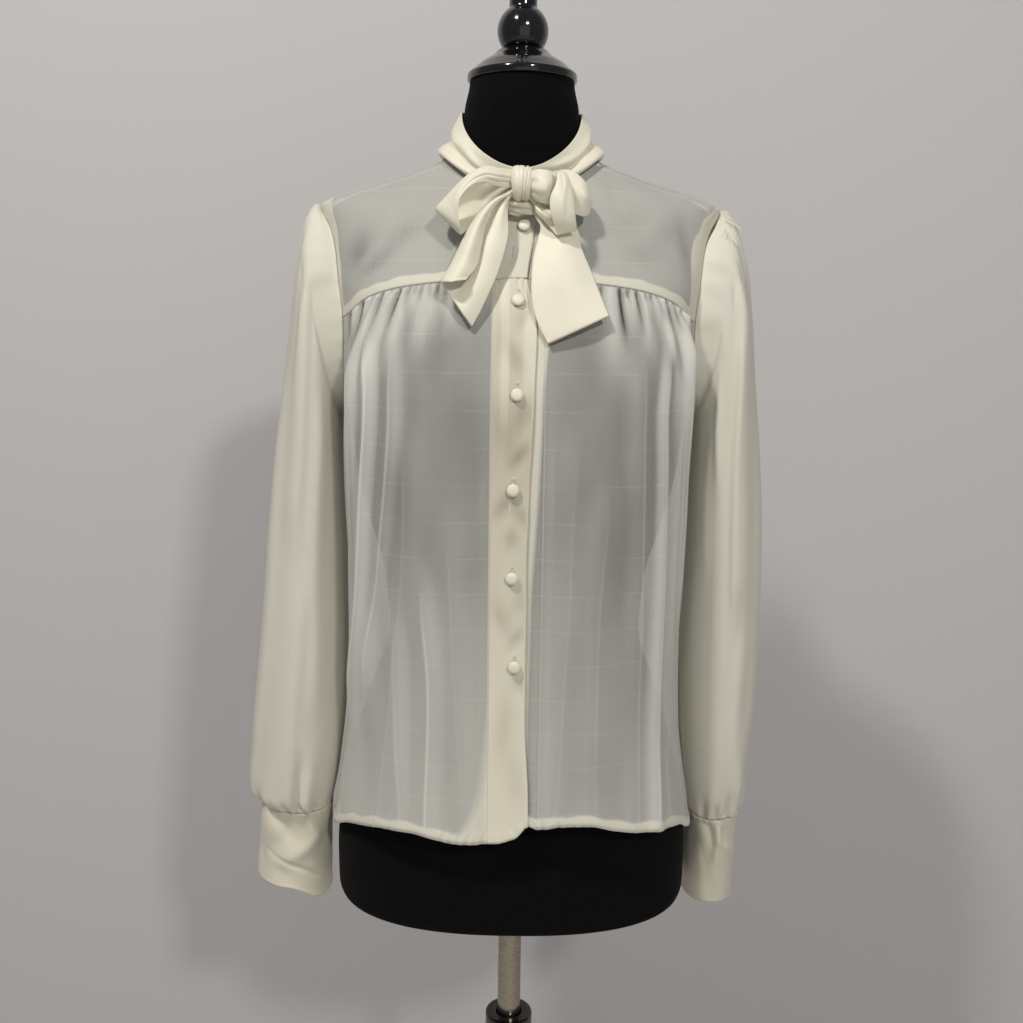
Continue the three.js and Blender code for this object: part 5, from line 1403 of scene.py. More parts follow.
def cuff_cloth(word, side):
    """A cuff: a strip round the wrist between two rings, whose end laps over its start."""
    upper, lower = cuff_rings(word)
    down = np.linspace(0, 1, CUFF_GRID["down"])[:, None]
    sweep = 360 + CUFF_LAP["lap"]
    turned = np.linspace(0, sweep, CUFF_GRID["around"])[None, :]
    angle = CUFF_LAP["start"] + turned
    ring = {key: mix(upper[key], lower[key], down) for key in upper}
    points = ring_points(ring, side, angle)
    centre = np.mean(points, axis=1, keepdims=True)
    axis = unit(centre[-1] - centre[0])
    out = points - centre[0]
    out = out - np.sum(out * axis, axis=-1, keepdims=True) * axis
    normals = unit(out)
    ramp = ease(360 - CUFF_LAP["ramp_from"], 360 - CUFF_LAP["ramp_to"], turned)
    lift = CUFF_LAP["lift"] * ramp + 0 * down
    inside = ease(0, 0.08, down) * ease(0, 0.06, 1 - down)
    for a, at, deep, wide, tall, lean in zip(*CUFF_DENTS[word].values()):
        away = turn_between(angle, a + lean * (down - at) / tall / 2)
        lift = lift - deep * inside * bell(away, wide) * bell(down - at, tall) * ease(0, 20, turned)
    points[..., 2] += down**3 * curve_through(CUFF_EDGE[word]["angle"], CUFF_EDGE[word]["up"], angle)
    stitched = 0.25 * bell(down - 0.06, 0.008) - 0.5 * bell(down - 0.985, 0.012)
    gathered = 0.35 * np.sin(np.radians(angle) * 26) * (1 - ease(0, 0.1, down))
    lift = lift - stitched + gathered * ease(0, 8, turned) * ease(0, 8, sweep - turned)
    placed = points + normals * lift[..., None]
    cloth = stacked(run(points, axis=1), run(points))
    marks = {"dim": CUFF_DIM + 0 * lift}
    middle = (side * 200, 0, 850)
    piece = make_object(f"cuff_{word}_cloth", placed, cream_doubled(), False, cloth, marks, middle)
    thicken(piece, bpy.context.scene.blouse_sizes.doubled_wall)
    settle(piece, [f"cuff_{word}"])
    return piece


# The neckband: its upper edge and, from the seam up, how far it stands off the straight line.
BAND_TOP = {
    "half": 50.8, "front": 76, "back": 50.8, "front_z": 1450, "side_z": 1506, "back_z": 1511, "curve": 0.85
}
NECKBAND_GRID = {"up": 51, "round": 201}
BAND_ROLL = {"least": 0.25, "start": 10, "full": 60}
BAND_PULL = {"forward": 5, "gone": 26, "full_up": 0.5}
BAND_PROFILE = columns("up out", [
    (0, 0), (0.1, 6), (0.22, 5.5), (0.35, -1.2), (0.56, 1.6), (0.8, 0.8), (1, 0)
])
BAND_END = 2
COLLAR_STAND = 1.9
BAND_CREASES = columns("angle up rise wide tall lean", [
    (322, 0.62, 2.0, 7, 0.3, 18), (300, 0.45, 1.8, 8, 0.25, -14), (40, 0.5, 1.8, 7, 0.3, 16),
    (62, 0.66, 1.6, 8, 0.25, -12), (120, 0.55, 1.5, 9, 0.3, 10), (200, 0.5, 1.5, 10, 0.3, -12),
    (250, 0.6, 1.4, 9, 0.25, 8),
])


def neckband_cloth():
    """The neckband: between its seam on the blouse and its upper edge, pushed out by a profile,
    and drawn forward at its ends by the knot."""
    up = np.linspace(0, 1, NECKBAND_GRID["up"])[:, None]
    full = np.linspace(BAND_END, 360 - BAND_END, NECKBAND_GRID["round"])[None, :]
    side = np.where(full <= 180, -1, 1)
    angle = np.where(full <= 180, full, 360 - full)
    seat = neckline_point(side, angle)
    x = seat[..., 0]
    over = lap_rise(x) * (1 - ease(BAND["neck"] + 1, BAND["neck"] + 11, x))
    foot = seat + body_normals(seat) * (COLLAR_STAND + over)[..., None]
    turn = np.radians(angle)
    front = angle < 90
    depth = np.where(front, BAND_TOP["front"], BAND_TOP["back"])
    rise = np.abs(1 - np.cos(turn)) ** BAND_TOP["curve"]
    top_front = mix(BAND_TOP["front_z"], BAND_TOP["side_z"], rise)
    top_back = mix(BAND_TOP["side_z"], BAND_TOP["back_z"], -np.cos(turn))
    head_z = np.where(front, top_front, top_back)
    head = stacked(side * BAND_TOP["half"] * np.sin(turn), -depth * np.cos(turn), head_z)
    points = mix(foot, head, up[..., None])
    pulled = (1 - ease(BAND_END, BAND_PULL["gone"], angle)) * ease(0, BAND_PULL["full_up"], up)
    points[..., 1] -= BAND_PULL["forward"] * pulled
    out = spline(BAND_PROFILE["up"], BAND_PROFILE["out"], up[:, 0])[:, None]
    lift = out * mix(BAND_ROLL["least"], 1, ease(BAND_ROLL["start"], BAND_ROLL["full"], angle))
    for a, at, height, wide, tall, lean in zip(*BAND_CREASES.values()):
        away = full - a - lean * (up - at) / tall
        shown = bell(up - at, tall * 0.6) * ease(0, 0.3, up) * ease(0, 0.1, 1 - up)
        lift = lift + height * bell(away, wide) * shown
    normals = unit(points * np.array([1, 1, 0]))
    placed = points + normals * lift[..., None]
    cloth = stacked(run(placed, axis=1), run(placed))
    piece = make_object("neckband_cloth", placed, cream_doubled(), cloth=cloth, outward=(0, 0, 1480))
    thicken(piece, bpy.context.scene.blouse_sizes.doubled_wall)
    settle(piece, ["collar"])
    return piece


# The tie. Its strands start inside the knot. Each row runs across a strand between an edge a and
# an edge b, and crown is how far its middle stands forward of the line between them.
STRAND = "ax ay az bx by bz crown"
LOOP_RIGHT = columns(STRAND, [
    (-2, -90, 1443, -2, -90, 1432, 2), (-8, -92, 1447, -8, -92, 1434, 3),
    (-17, -97, 1448, -17.5, -99, 1434, 5), (-27, -100, 1449, -29, -106, 1436, 4),
    (-37, -102, 1445, -39, -111, 1432, 3), (-46, -103, 1438, -47, -114, 1422, 2),
    (-56, -102, 1428, -48, -114, 1410, 2), (-66.5, -98, 1417.5, -46, -110, 1399, 2),
    (-67.5, -94, 1417, -46.5, -105, 1397, 0), (-65.5, -89, 1418.5, -44, -99, 1399, -3),
    (-56, -83, 1430, -37, -91, 1407, -2), (-45, -81, 1440, -29, -85.5, 1415, -1),
    (-32, -81, 1446.5, -22, -83, 1424, 0), (-18, -82, 1448.5, -15, -82.5, 1431, 0),
    (-8, -84, 1447, -8, -84, 1435, 0), (-2, -86, 1444, -2, -86, 1436, 0),
])
LOOP_LEFT = columns(STRAND, [
    (2, -90, 1443, 2, -90, 1432, 2), (8.5, -93, 1447, 8.5, -93, 1427, 4),
    (13, -98, 1447.5, 13, -98, 1423, 6), (19, -99, 1447, 19, -99, 1421.5, 7),
    (25, -96, 1446, 25, -96, 1424, 4), (31, -92, 1448, 32, -92, 1421, 1),
    (40, -92, 1447, 42, -93, 1415, 3), (49, -91, 1440.5, 50, -91, 1413, 4),
    (54.5, -87, 1431, 54, -87, 1416, 0), (50, -82.5, 1438.5, 49, -82, 1417, -2),
    (38, -80.5, 1446.5, 36, -80, 1420.5, -1), (22, -80.5, 1448, 21.5, -80.5, 1425, 0),
    (8.5, -84, 1447, 8.5, -84, 1429, 0), (2, -86, 1443, 2, -86, 1433, 0),
])
FOLD_LEFT = columns(STRAND, [
    (24.5, -103.5, 1445.5, 34, -101, 1445.5, 1), (27, -109, 1444, 36.5, -106, 1440, 2),
    (26, -113, 1434.5, 39.5, -110, 1428.5, 3), (22, -115, 1424, 41, -112, 1418.5, 4),
    (22.5, -115, 1414, 42, -112, 1410.5, 3), (25.5, -112, 1405, 43, -109, 1404, 2),
    (28, -106, 1398, 42.5, -104, 1401.5, 0), (23, -100, 1403.5, 35, -99, 1407, -2),
    (18, -99.5, 1409, 25, -97.5, 1416, 3), (12.5, -93, 1415, 16, -93.5, 1420, 0),
    (8, -90.3, 1424.5, 8, -90.3, 1429, 0), (2, -90, 1428, 2, -90, 1432, 0),
])
TAIL_LEFT = columns(STRAND, [
    (1, -88, 1430, 1, -88, 1436, 0), (7.8, -87.3, 1425.5, 7.8, -87.3, 1431.5, 0),
    (11, -87.5, 1413, 19, -87, 1421, 1), (15.5, -90, 1405, 35, -88, 1413, 2),
    (13.5, -96, 1395, 45, -93, 1402, 3), (10.5, -103, 1382, 48, -100, 1388, 5),
    (9, -110, 1366, 54, -107, 1373, 6), (9.5, -116, 1349, 60.5, -113, 1357, 5),
    (13.5, -121, 1332, 65, -117.5, 1346, 3), (22.5, -126, 1314, 69, -121, 1336, 2),
])
TAIL_RIGHT = columns("rx rz lx lz ex ez y roll", [
    (-1, 1432, -1, 1436, -1, 1434, -90, 1), (-8, 1427, -8, 1431.5, -8, 1429, -91, 2),
    (-10, 1419, -22.5, 1424, -17, 1422.5, -92, 5), (-10, 1410, -31.5, 1414.5, -23, 1414, -95.5, 7),
    (-9.5, 1399, -39.5, 1402.5, -27.5, 1402, -99.5, 8), (-12, 1386, -46, 1389, -30, 1388, -104, 9),
    (-17, 1369, -52, 1376, -32.5, 1375, -108, 9), (-24, 1352, -57, 1366, -37, 1367, -114, 9),
    (-31, 1337, -59, 1361.5, -40, 1363.5, -118, 8), (-37, 1326, -59.5, 1358.5, -41, 1362, -121, 8),
])
# Painted shade along a strand, by the share of the way along it: the far side of a loop, in its
# hollow, and the strand under the knot are drawn duller and darker.
PAINTED_SHADE_ALONG = {
    "open": columns("along dim", [(0, 0), (0.5, 0), (1, 0)]),
    "bow_loop_right": columns("along dim", [
        (0, 0.1), (0.1, 0), (0.52, 0), (0.62, 0.34), (0.85, 0.5), (1, 0.6)
    ]),
    "bow_loop_left": columns("along dim", [(0, 0.1), (0.1, 0), (0.6, 0), (0.8, 0.3), (1, 0.4)]),
    "under_knot": columns("along dim", [(0, 0.35), (0.5, 0.45), (1, 0.35)]),
}
UNDER_KNOT = columns(STRAND, [
    (-17, -80, 1427, -16, -80, 1419, 1), (-10, -84, 1427, -9.5, -85, 1416.5, 3),
    (-2, -86, 1427, -1.5, -87, 1414.5, 4), (6, -86, 1427, 6.5, -87, 1414, 3),
    (14, -83, 1427, 14, -84, 1415, 1),
])
# Powers of the superellipses that round the edges and the ends of a strand.
STRAND_EDGES = 8
STRAND_ENDS = 40
ROLL_SHAPE = {"crest": (0.32, 0.3), "hollow": (0.72, -0.25), "over": (0.45, 1), "edge": 0.62}
BOW_BACK = 3
# A crease that starts before the first of these, or stops after the second, runs on into that end.
CREASE_ENDS = (0.02, 0.99)

# Creases along a strand: place across it, where it starts and ends along it, how far it stands
# out, its width as a share of the strand and how far it drifts across.
CREASE = "across start stop rise wide drift"
CREASES = {
    "bow_loop_right": columns(CREASE, [
        (0.25, 0.0, 0.22, 1.8, 0.07, -0.1), (0.5, 0.0, 0.3, 1.5, 0.08, 0.05),
        (0.75, 0.0, 0.26, 1.7, 0.07, 0.12), (0.62, 0.12, 0.42, 1.4, 0.1, 0.1),
        (0.35, 0.78, 1.0, -1.2, 0.08, 0.0), (0.7, 0.72, 1.0, -1.4, 0.08, 0.1),
    ]),
    "bow_loop_left": columns(CREASE, [
        (0.3, 0.0, 0.2, 1.5, 0.07, -0.05), (0.6, 0.0, 0.24, 1.8, 0.08, 0.05),
        (0.82, 0.0, 0.18, 1.2, 0.06, 0.05), (0.4, 0.4, 0.62, 1.3, 0.1, 0.15),
        (0.55, 0.75, 1.0, -1.3, 0.1, 0.0),
    ]),
    "bow_fold_left": columns(CREASE, [
        (0.35, 0.0, 0.3, 1.0, 0.1, 0.1), (0.7, 0.1, 0.5, 0.8, 0.1, -0.1),
        (0.3, 0.6, 1.0, 1.6, 0.12, 0.2), (0.7, 0.62, 1.0, -1.4, 0.12, -0.1),
    ]),
    "tail_left": columns(CREASE, [
        (0.5, 0.02, 0.4, 2.0, 0.12, 0.1), (0.25, 0.05, 0.3, 1.2, 0.08, 0.0),
        (0.7, 0.3, 0.75, -1.4, 0.14, 0.1), (0.3, 0.5, 0.95, 0.9, 0.16, 0.1),
    ]),
    "under_knot": columns(CREASE, [
        (0.3, 0.0, 0.9, 1.2, 0.1, 0.2), (0.65, 0.1, 1.0, -1.2, 0.08, 0.1),
    ]),
    "tail_right": columns(CREASE, [
        (0.15, 0.05, 0.5, 1.2, 0.06, 0.02), (0.35, 0.0, 0.6, -1.0, 0.07, 0.0),
    ]),
}


def strand_rows(table):
    """Each row's two edges and crowned middle, as rows of three points."""
    a = stacked(table["ax"], table["ay"], table["az"])
    b = stacked(table["bx"], table["by"], table["bz"])
    middle = (a + b) / 2
    middle[:, 1] -= table["crown"]
    return np.stack([a, middle, b], axis=1)


def rolled_rows(table):
    """Rows of the tail whose edge rolls over its front: plain edge, crest, hollow, the fold, the
    top of the roll and its edge."""
    y, roll = table["y"], table["roll"]
    plain = stacked(table["rx"], y, table["rz"])
    fold = stacked(table["lx"], y - 1, table["lz"])
    edge = stacked(table["ex"], y - ROLL_SHAPE["edge"] * roll, table["ez"])
    between = []
    for start, stop, key in ((plain, fold, "crest"), (plain, fold, "hollow"), (fold, edge, "over")):
        across, forward = ROLL_SHAPE[key]
        point = mix(start, stop, across)
        point[:, 1] -= forward * roll
        between.append(point)
    crest, hollow, over = between
    return np.stack([plain, crest, hollow, fold, over, edge], axis=1)


def strand(name, node, rows, along, across, wall, creases, dims):
    """A strand of the tie as a flattened tube: a smooth surface both ways through rows of points,
    with a front and a back half a wall off it that meet in round edges and closed ends. Dims is
    painted shade: how much duller the cloth is drawn by the share of the way along."""
    knots = np.mean(run(rows), axis=1)
    lines = spline(knots, rows, np.linspace(0, knots[-1], along))
    widths = np.mean(run(lines, axis=1), axis=0)
    angle = np.linspace(0, np.pi, across)
    share = (1 - np.cos(angle)) / 2
    middle = np.swapaxes(spline(widths, np.swapaxes(lines, 0, 1), share * widths[-1]), 0, 1)
    middle[..., 1] += BOW_BACK
    s = np.linspace(0, 1, along)[:, None]
    lift = 0 * s * share[None, :]
    for at, start, stop, rise, wide, drift in zip(*creases.values()):
        if start <= CREASE_ENDS[0]:
            fade = 1 - ease(mix(start, stop, 0.35), stop, s)
        else:
            fade = ease(start, mix(start, stop, 0.3), s)
            if stop < CREASE_ENDS[1]:
                fade = fade * (1 - ease(mix(start, stop, 0.6), stop + 0.001, s))
        place = at + drift * (s - start) / (stop - start)
        lift = lift + rise * fade * bell(share[None, :] - place, wide) * np.sin(angle)[None, :] ** 0.5
    normals = grid_normals(middle)
    middle = middle + normals * lift[..., None]
    normals = grid_normals(middle)
    ends = np.sqrt(1 - np.abs(2 * s - 1) ** STRAND_ENDS)
    half = wall / 2 * (1 - np.abs(2 * share - 1) ** STRAND_EDGES)[None, :] ** 0.5 * ends
    front = middle + normals * half[..., None]
    back = middle - normals * half[..., None]
    ring = np.concatenate([front, back[:, -2:0:-1]], axis=1)
    across_run = run(middle, axis=1)
    there = np.concatenate([across_run, across_run[:, -2:0:-1], across_run[:, :1]], axis=1)
    down = run(middle)
    back_run = np.concatenate([down, down[:, -2:0:-1], down[:, :1]], axis=1)
    cloth = stacked(there, back_run)
    # Painted shade along the strand, from its dims.
    marks = {"dim": np.broadcast_to(curve_through(dims["along"], dims["dim"], s), ring.shape[:2])}
    piece = make_object(name, ring, cream_doubled(), closed=True, cloth=cloth, marks=marks, merge=True)
    face_out(piece)
    settle(piece, node)
    flat = (round(float(widths[-1]) * MM, 3), round(float(knots[-1]) * MM, 3))
    return piece, flat


def face_out(piece):
    """Turns the faces of a closed piece outwards."""
    made = bmesh.new()
    made.from_mesh(piece.data)
    bmesh.ops.recalc_face_normals(made, faces=made.faces)
    made.to_mesh(piece.data)
    made.free()


KNOT = {"x": 0.3, "y": -87.5, "z": 1437.5, "wide": 8.2, "deep": 12.6, "tall": 13.6}
KNOT_GROOVES = columns("x deep wide lean", [
    (-0.78, 0.05, 0.07, 0.0), (0.16, 0.12, 0.05, 0.16), (0.48, 0.1, 0.05, 0.2),
    (0.72, 0.07, 0.05, 0.16)
])
KNOT_GRID = {"round": 120, "across": 81}


def knot_cloth():
    """The knot: a band wrapped round the crossing. Its radius falls off at both sides as a
    superellipse does and is cut by leaning grooves between the pleats, and its top is wider."""
    turn = circle(KNOT_GRID["round"])
    over = np.linspace(-1, 1, KNOT_GRID["across"])[:, None]
    radius = (1 - np.abs(over) ** 5) ** 0.3 * np.ones_like(turn)
    up = np.sin(turn)
    for x, deep, wide, lean in zip(*KNOT_GROOVES.values()):
        radius = radius - deep * bell(over - x - lean * up, wide) * (1 - np.abs(over) ** 4)
    radius = radius + 0.012 * np.sin(over * 19 + 2 * up)
    wide = KNOT["wide"] * (1 + 0.12 * up)
    x = KNOT["x"] + wide * over
    y = KNOT["y"] - KNOT["deep"] * radius * np.cos(turn)
    z = KNOT["z"] + KNOT["tall"] * radius * up
    points = stacked(x, y, z)
    round_it = np.concatenate([turn, turn[:, :1] + 2 * np.pi], axis=1) * KNOT["tall"]
    cloth = stacked(over * KNOT["wide"], round_it)
    piece = make_object("knot_cloth", points, cream_doubled(), closed=True, cloth=cloth, merge=True)
    face_out(piece)
    settle(piece, ["knot"])
    return piece


# Buttons, buttonholes and threads.
BUTTON_PROFILE = [
    (0, 0), (4.1, 0), (4.7, 0.4), (5.08, 1.1), (5.0, 1.8), (4.5, 2.6), (3.6, 3.2), (2.4, 3.55),
    (1.2, 3.68), (0, 3.7)
]
BUTTON_GRID = {"round": 56, "out": 25}
# The cover's length round the button in its weave, and the pleats at its rim.
BUTTON_ROUND = 32
PLEATS = {"deep": 0.09, "count": 14}
BUTTONS = columns("x z", [(3, 1405), (-1, 1346), (-1, 1275), (-3, 1202), (-3, 1132), (0, 1059)])
# The buttons stand where the part has them: on its walls, which are thicker than the cloth here.
REST_GAP = 0.3
CLOTH_WALL = 1.4
CUFF_WALL = 2
CUFF_BUTTON_STAND = {"right": 0.8, "left": 0.1}


def facing_axes(out):
    """The matrix that turns a shape made along +Z to face out, with its up side up."""
    out = unit(out)
    side = unit(np.cross([0, 0, 1], out))
    return np.stack([side, np.cross(out, side), out], axis=1)


def covered_button(name, node, seat, out):
    """A button covered in the cloth: a turned dome whose cover is drawn into faint pleats at its
    rim, placed facing out."""
    profile = np.array(BUTTON_PROFILE, float)
    knots = run(profile)
    line = spline(knots, profile, np.linspace(0, knots[-1], BUTTON_GRID["out"]))
    line[[0, -1], 0] = 0
    turn = circle(BUTTON_GRID["round"])
    rim = bell(line[:, 1:] - 0.8, 0.7) * ease(3, 4.8, line[:, :1])
    radius = np.maximum(line[:, :1], 0) + PLEATS["deep"] * rim * np.sin(turn * PLEATS["count"])
    local = stacked(radius * np.cos(turn), radius * np.sin(turn), line[:, 1:])
    points = local @ facing_axes(out).T + seat
    round_it = np.linspace(0, BUTTON_ROUND, BUTTON_GRID["round"] + 1)[None, :]
    outward = np.linspace(0, knots[-1], BUTTON_GRID["out"])[:, None]
    cloth = stacked(round_it, outward)
    piece = make_object(name, points, cream_doubled(), closed=True, cloth=cloth, merge=True)
    face_out(piece)
    return settle(piece, [node])


def tube(path, radius, sides=6):
    """A round thread along a path: a circle carried along it, square to its direction."""
    tangent = unit(np.gradient(path, axis=0))
    aside = unit(np.cross(tangent, [0.3, 0.2, 0.93]))
    beside = np.cross(tangent, aside)
    turn = circle(sides)[..., None]
    thin = radius * np.sqrt(np.clip(1 - np.abs(np.linspace(-1, 1, len(path))) ** 12, 0, 1))[:, None, None]
    return path[:, None] + thin * (np.cos(turn) * aside[:, None] + np.sin(turn) * beside[:, None])


def thread_material():
    """The sewing thread, of a finer grain than the cloth."""
    base = bpy.context.scene.blouse_colours.thread
    return shared(doubled_polyester, "polyester thread", base, 0.0006)


def threads(name, paths, radius):
    """Several threads joined into one piece."""
    material = thread_material()
    tubes = [tube(path, radius) for path in paths]
    pieces = [make_object("thread", points, material, closed=True, merge=True) for points in tubes]
    piece = join(name, pieces)
    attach(piece, "form")
    return piece


# Loose threads at the torn seam of the left shoulder: start, end, and how far the middle hangs.
FRAYS = columns("x y z to_x to_y to_z sag", [
    (171, -22, 1424, 181, -30, 1419, 3), (172, -26, 1420, 178, -40, 1412, 2),
    (170, -30, 1417, 184, -36, 1408, -3), (171, -18, 1426, 176, -26, 1431, -2),
    (173, -34, 1409, 180, -46, 1396, 3), (172, -28, 1415, 168, -44, 1405, 2),
    (174, -20, 1423, 188, -26, 1411, 4), (171, -36, 1405, 176, -50, 1398, -2),
    (172, -24, 1421, 170, -36, 1424, -2),
])


def fray_paths():
    """Arcs from start to end that sag in their middle, with a small wave."""
    t = np.linspace(0, 1, 15)[:, None]
    paths = []
    for x, y, z, to_x, to_y, to_z, sag in zip(*FRAYS.values()):
        line = mix(np.array([[x, y, z]]), np.array([[to_x, to_y, to_z]]), t)
        line = line + np.array([0.3, -0.5, -1]) * sag * np.sin(np.pi * t)
        line[:, 0] += 0.5 * np.sin(9 * t[:, 0] + x)
        paths.append(line)
    return paths


# Half width and half height of a buttonhole, how far up its button it is and how far off the cloth.
BUTTONHOLE = {"half": 0.8, "tall": 2.6, "up": 7.4, "stand": 1.2}


def buttonhole_path(x, z):
    """A worked buttonhole: a narrow upright oval that hugs the band above its button."""
    turn = np.linspace(0, 2 * np.pi, 41)
    px = x + BUTTONHOLE["half"] * np.cos(turn)
    pz = z + BUTTONHOLE["up"] + BUTTONHOLE["tall"] * np.sin(turn)
    seat = on_face(px, pz, -1)
    return seat + body_normals(seat) * (LAP_SHARE * lap_rise(px) + BUTTONHOLE["stand"])[..., None]


# The form and its stand.
def turned_piece(name, profile, material, node, body="form", crease=35):
    """A solid turned round the upright axis from a closed profile of radius and height."""
    sides = bpy.context.scene.blouse_sizes.sides
    line = np.array(profile, float)
    turn = circle(sides)
    radius, height = line[:, :1], line[:, 1:]
    points = stacked(radius * np.sin(turn), -radius * np.cos(turn), height)
    piece = make_object(name, points, material, closed=True, merge=True)
    face_out(piece)
    piece.data.shade_smooth()
    piece.data.set_sharp_from_angle(angle=math.radians(crease))
    return settle(piece, [node], body)


def rounded(corner_points, radius, steps=6):
    """A profile whose corners are rounded: each is replaced by a quadratic curve between points a
    radius before and after it."""
    points = np.array(corner_points, float)
    line = [points[0]]
    for before, corner, after in zip(points[:-2], points[1:-1], points[2:]):
        back = before - corner
        ahead = after - corner
        reach = min(radius, 0.45 * np.linalg.norm(back), 0.45 * np.linalg.norm(ahead))
        start = corner + unit(back) * reach
        stop = corner + unit(ahead) * reach
        for t in np.linspace(0, 1, steps):
            line.append((1 - t) ** 2 * start + 2 * t * (1 - t) * corner + t**2 * stop)
    line.append(points[-1])
    return line


FORM_SIDES = 150


def torso_cover():
    """The dress form: its sections swept smoothly by height and closed at the bottom and the neck,
    with the bust as a pair of bells. Its jersey has a seam down each side and down the middle."""
    bottom, top = FORM["z"][0], FORM["z"][-1]
    z = np.concatenate([np.linspace(bottom, 820, 10), np.linspace(822, top, 150)])[:, None]
    turn = circle(FORM_SIDES)
    half, front, back, square = section(FORM, z)
    power = 2 / square
    x = half * np.sign(np.sin(turn)) * np.abs(np.sin(turn)) ** power
    depth = np.where(np.cos(turn) > 0, front, back)
    y = -depth * np.sign(np.cos(turn)) * np.abs(np.cos(turn)) ** power
    rise = BUST["form"] * bell(np.abs(x) - BUST["x"], BUST["wide"]) * bell(z - BUST["z"], BUST["tall"])
    y = np.where(y < 0, y - rise * ease(0, -25, y), y)
    seam = 0.35 * bell(np.abs(x) - half, 0.5) + 0.35 * bell(x, 1.2)
    x = x * (1 - seam / np.maximum(half, 1))
    body = stacked(x, y, z)
    low = np.zeros((1, FORM_SIDES, 3)) + np.array([0, 0, bottom])
    high = np.zeros((1, FORM_SIDES, 3)) + np.array([0, 0, top])
    points = np.concatenate([low, body, high])
    piece = make_object("torso_cover", points, black_jersey(), closed=True, merge=True)
    face_out(piece)
    piece.data.shade_smooth()
    piece.data.set_sharp_from_angle(angle=math.radians(60))
    return settle(piece, ["torso"])


# Operators, one for each piece or group of like pieces.
class BLOUSE_OT_form(bpy.types.Operator):
    """Build the jersey covered dress form"""

    bl_idname = "blouse.form"
    bl_label = "Dress form"

    def execute(self, context):
        torso_cover()
        return {"FINISHED"}


class BLOUSE_OT_stand(bpy.types.Operator):
    """Build the neck cap, ball, pole, column and base"""

    bl_idname = "blouse.stand"
    bl_label = "Stand"

    def execute(self, context):
        lacquer, enamel = black_lacquer(), black_enamel()
        low, high = (np.array(c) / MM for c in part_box("neck_cap"))
        cap = [(0, low[2]), (46.5, low[2]), (46.5, low[2] + 6), (43.8, low[2] + 8), (36.1, low[2] + 14.5),
               (25.7, low[2] + 21), (20.5, high[2]), (0, high[2])]
        turned_piece("cap_lacquer", rounded(cap, 2), lacquer, "neck_cap")
        low, high = (np.array(c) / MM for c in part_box("finial"))
        heights = np.linspace(low[2], 1589, 28)
        ball = [(math.sqrt(21.6**2 - (z - 1571) ** 2), z) for z in heights]
        flare = [(11.8, 1591), (11.6, 1596), (13, 1602), (14, 1604), (11, 1615), (0, high[2])]
        line = [(0, low[2])] + ball + rounded(flare, 2.5)
        turned_piece("ball_lacquer", line, lacquer, "finial", crease=50)
        low, high = (np.array(c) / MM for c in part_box("pole"))
        radius = high[0]
        pole = rounded([(0, low[2]), (radius, low[2]), (radius, high[2]), (0, high[2])], 0.8)
        turned_piece("pole_nickel", pole, plated_nickel(), "pole")
        low, high = (np.array(c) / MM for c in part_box("column"))
        radius, bore, floor = high[0], 11.8, 300
        outside = [(0, low[2]), (radius, low[2]), (radius, high[2])]
        column = rounded(outside + [(bore, high[2]), (bore, floor), (0, floor)], 2.4)
        turned_piece("column_enamel", column, enamel, "column", "stand")
        low, high = (np.array(c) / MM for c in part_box("base"))
        plate = rounded([(0, 0), (high[0], 0), (high[0], high[2]), (0, high[2])], 6)
        turned_piece("base_enamel", plate, enamel, "base", "stand")
        return {"FINISHED"}


class BLOUSE_OT_body(bpy.types.Operator):
    """Build the fronts, yokes and back"""

    bl_idname = "blouse.body"
    bl_label = "Fronts, yokes and back"

    def execute(self, context):
        sizes = context.scene.blouse_sizes
        front_cloth("front_right_cloth", -1)
        front_cloth("front_left_cloth", 1)
        yoke_cloth("yoke_right_cloth", -1, BAND["neck"], BAND["top"], True)
        yoke_cloth("yoke_left_cloth", 1, BAND["under"], BAND["under"], False)
        back = thicken(back_cloth(), sizes.sheer_wall)
        settle(back, ["back"])
        return {"FINISHED"}


class BLOUSE_OT_band(bpy.types.Operator):
    """Build both halves of the button band"""

    bl_idname = "blouse.band"
    bl_label = "Button band"

    def execute(self, context):
        band_cloth("band_outer_cloth", "placket_over", True)
        band_cloth("band_inner_cloth", "placket_under", False)
        return {"FINISHED"}


class BLOUSE_OT_sleeves(bpy.types.Operator):
    """Build both sleeves"""

    bl_idname = "blouse.sleeves"
    bl_label = "Sleeves"

    def execute(self, context):
        sleeve_cloth("right", -1)
        sleeve_cloth("left", 1)
        return {"FINISHED"}


class BLOUSE_OT_cuffs(bpy.types.Operator):
    """Build both cuffs"""

    bl_idname = "blouse.cuffs"
    bl_label = "Cuffs"

    def execute(self, context):
        cuff_cloth("right", -1)
        cuff_cloth("left", 1)
        return {"FINISHED"}


class BLOUSE_OT_tie(bpy.types.Operator):
    """Build the neckband and the tied bow"""

    bl_idname = "blouse.tie"
    bl_label = "Neckband and bow"

    def execute(self, context):
        neckband_cloth()
        knot_cloth()
        wall = context.scene.blouse_sizes.doubled_wall / MM
        parts = [
            ("bow_loop_right", strand_rows(LOOP_RIGHT), 121, 37),
            ("bow_loop_left", strand_rows(LOOP_LEFT), 121, 37),
            ("bow_fold_left", strand_rows(FOLD_LEFT), 101, 33),
            ("tail_left", strand_rows(TAIL_LEFT), 91, 41),
            ("tail_right", rolled_rows(TAIL_RIGHT), 91, 61),
            ("under_knot", strand_rows(UNDER_KNOT), 41, 25),
        ]
        for word, rows, along, across in parts:
            nodes = [] if word == "under_knot" else [word]
            dims = PAINTED_SHADE_ALONG.get(word, PAINTED_SHADE_ALONG["open"])
            piece, flat = strand(f"{word}_cloth", nodes, rows, along, across, wall, CREASES[word], dims)
        return {"FINISHED"}


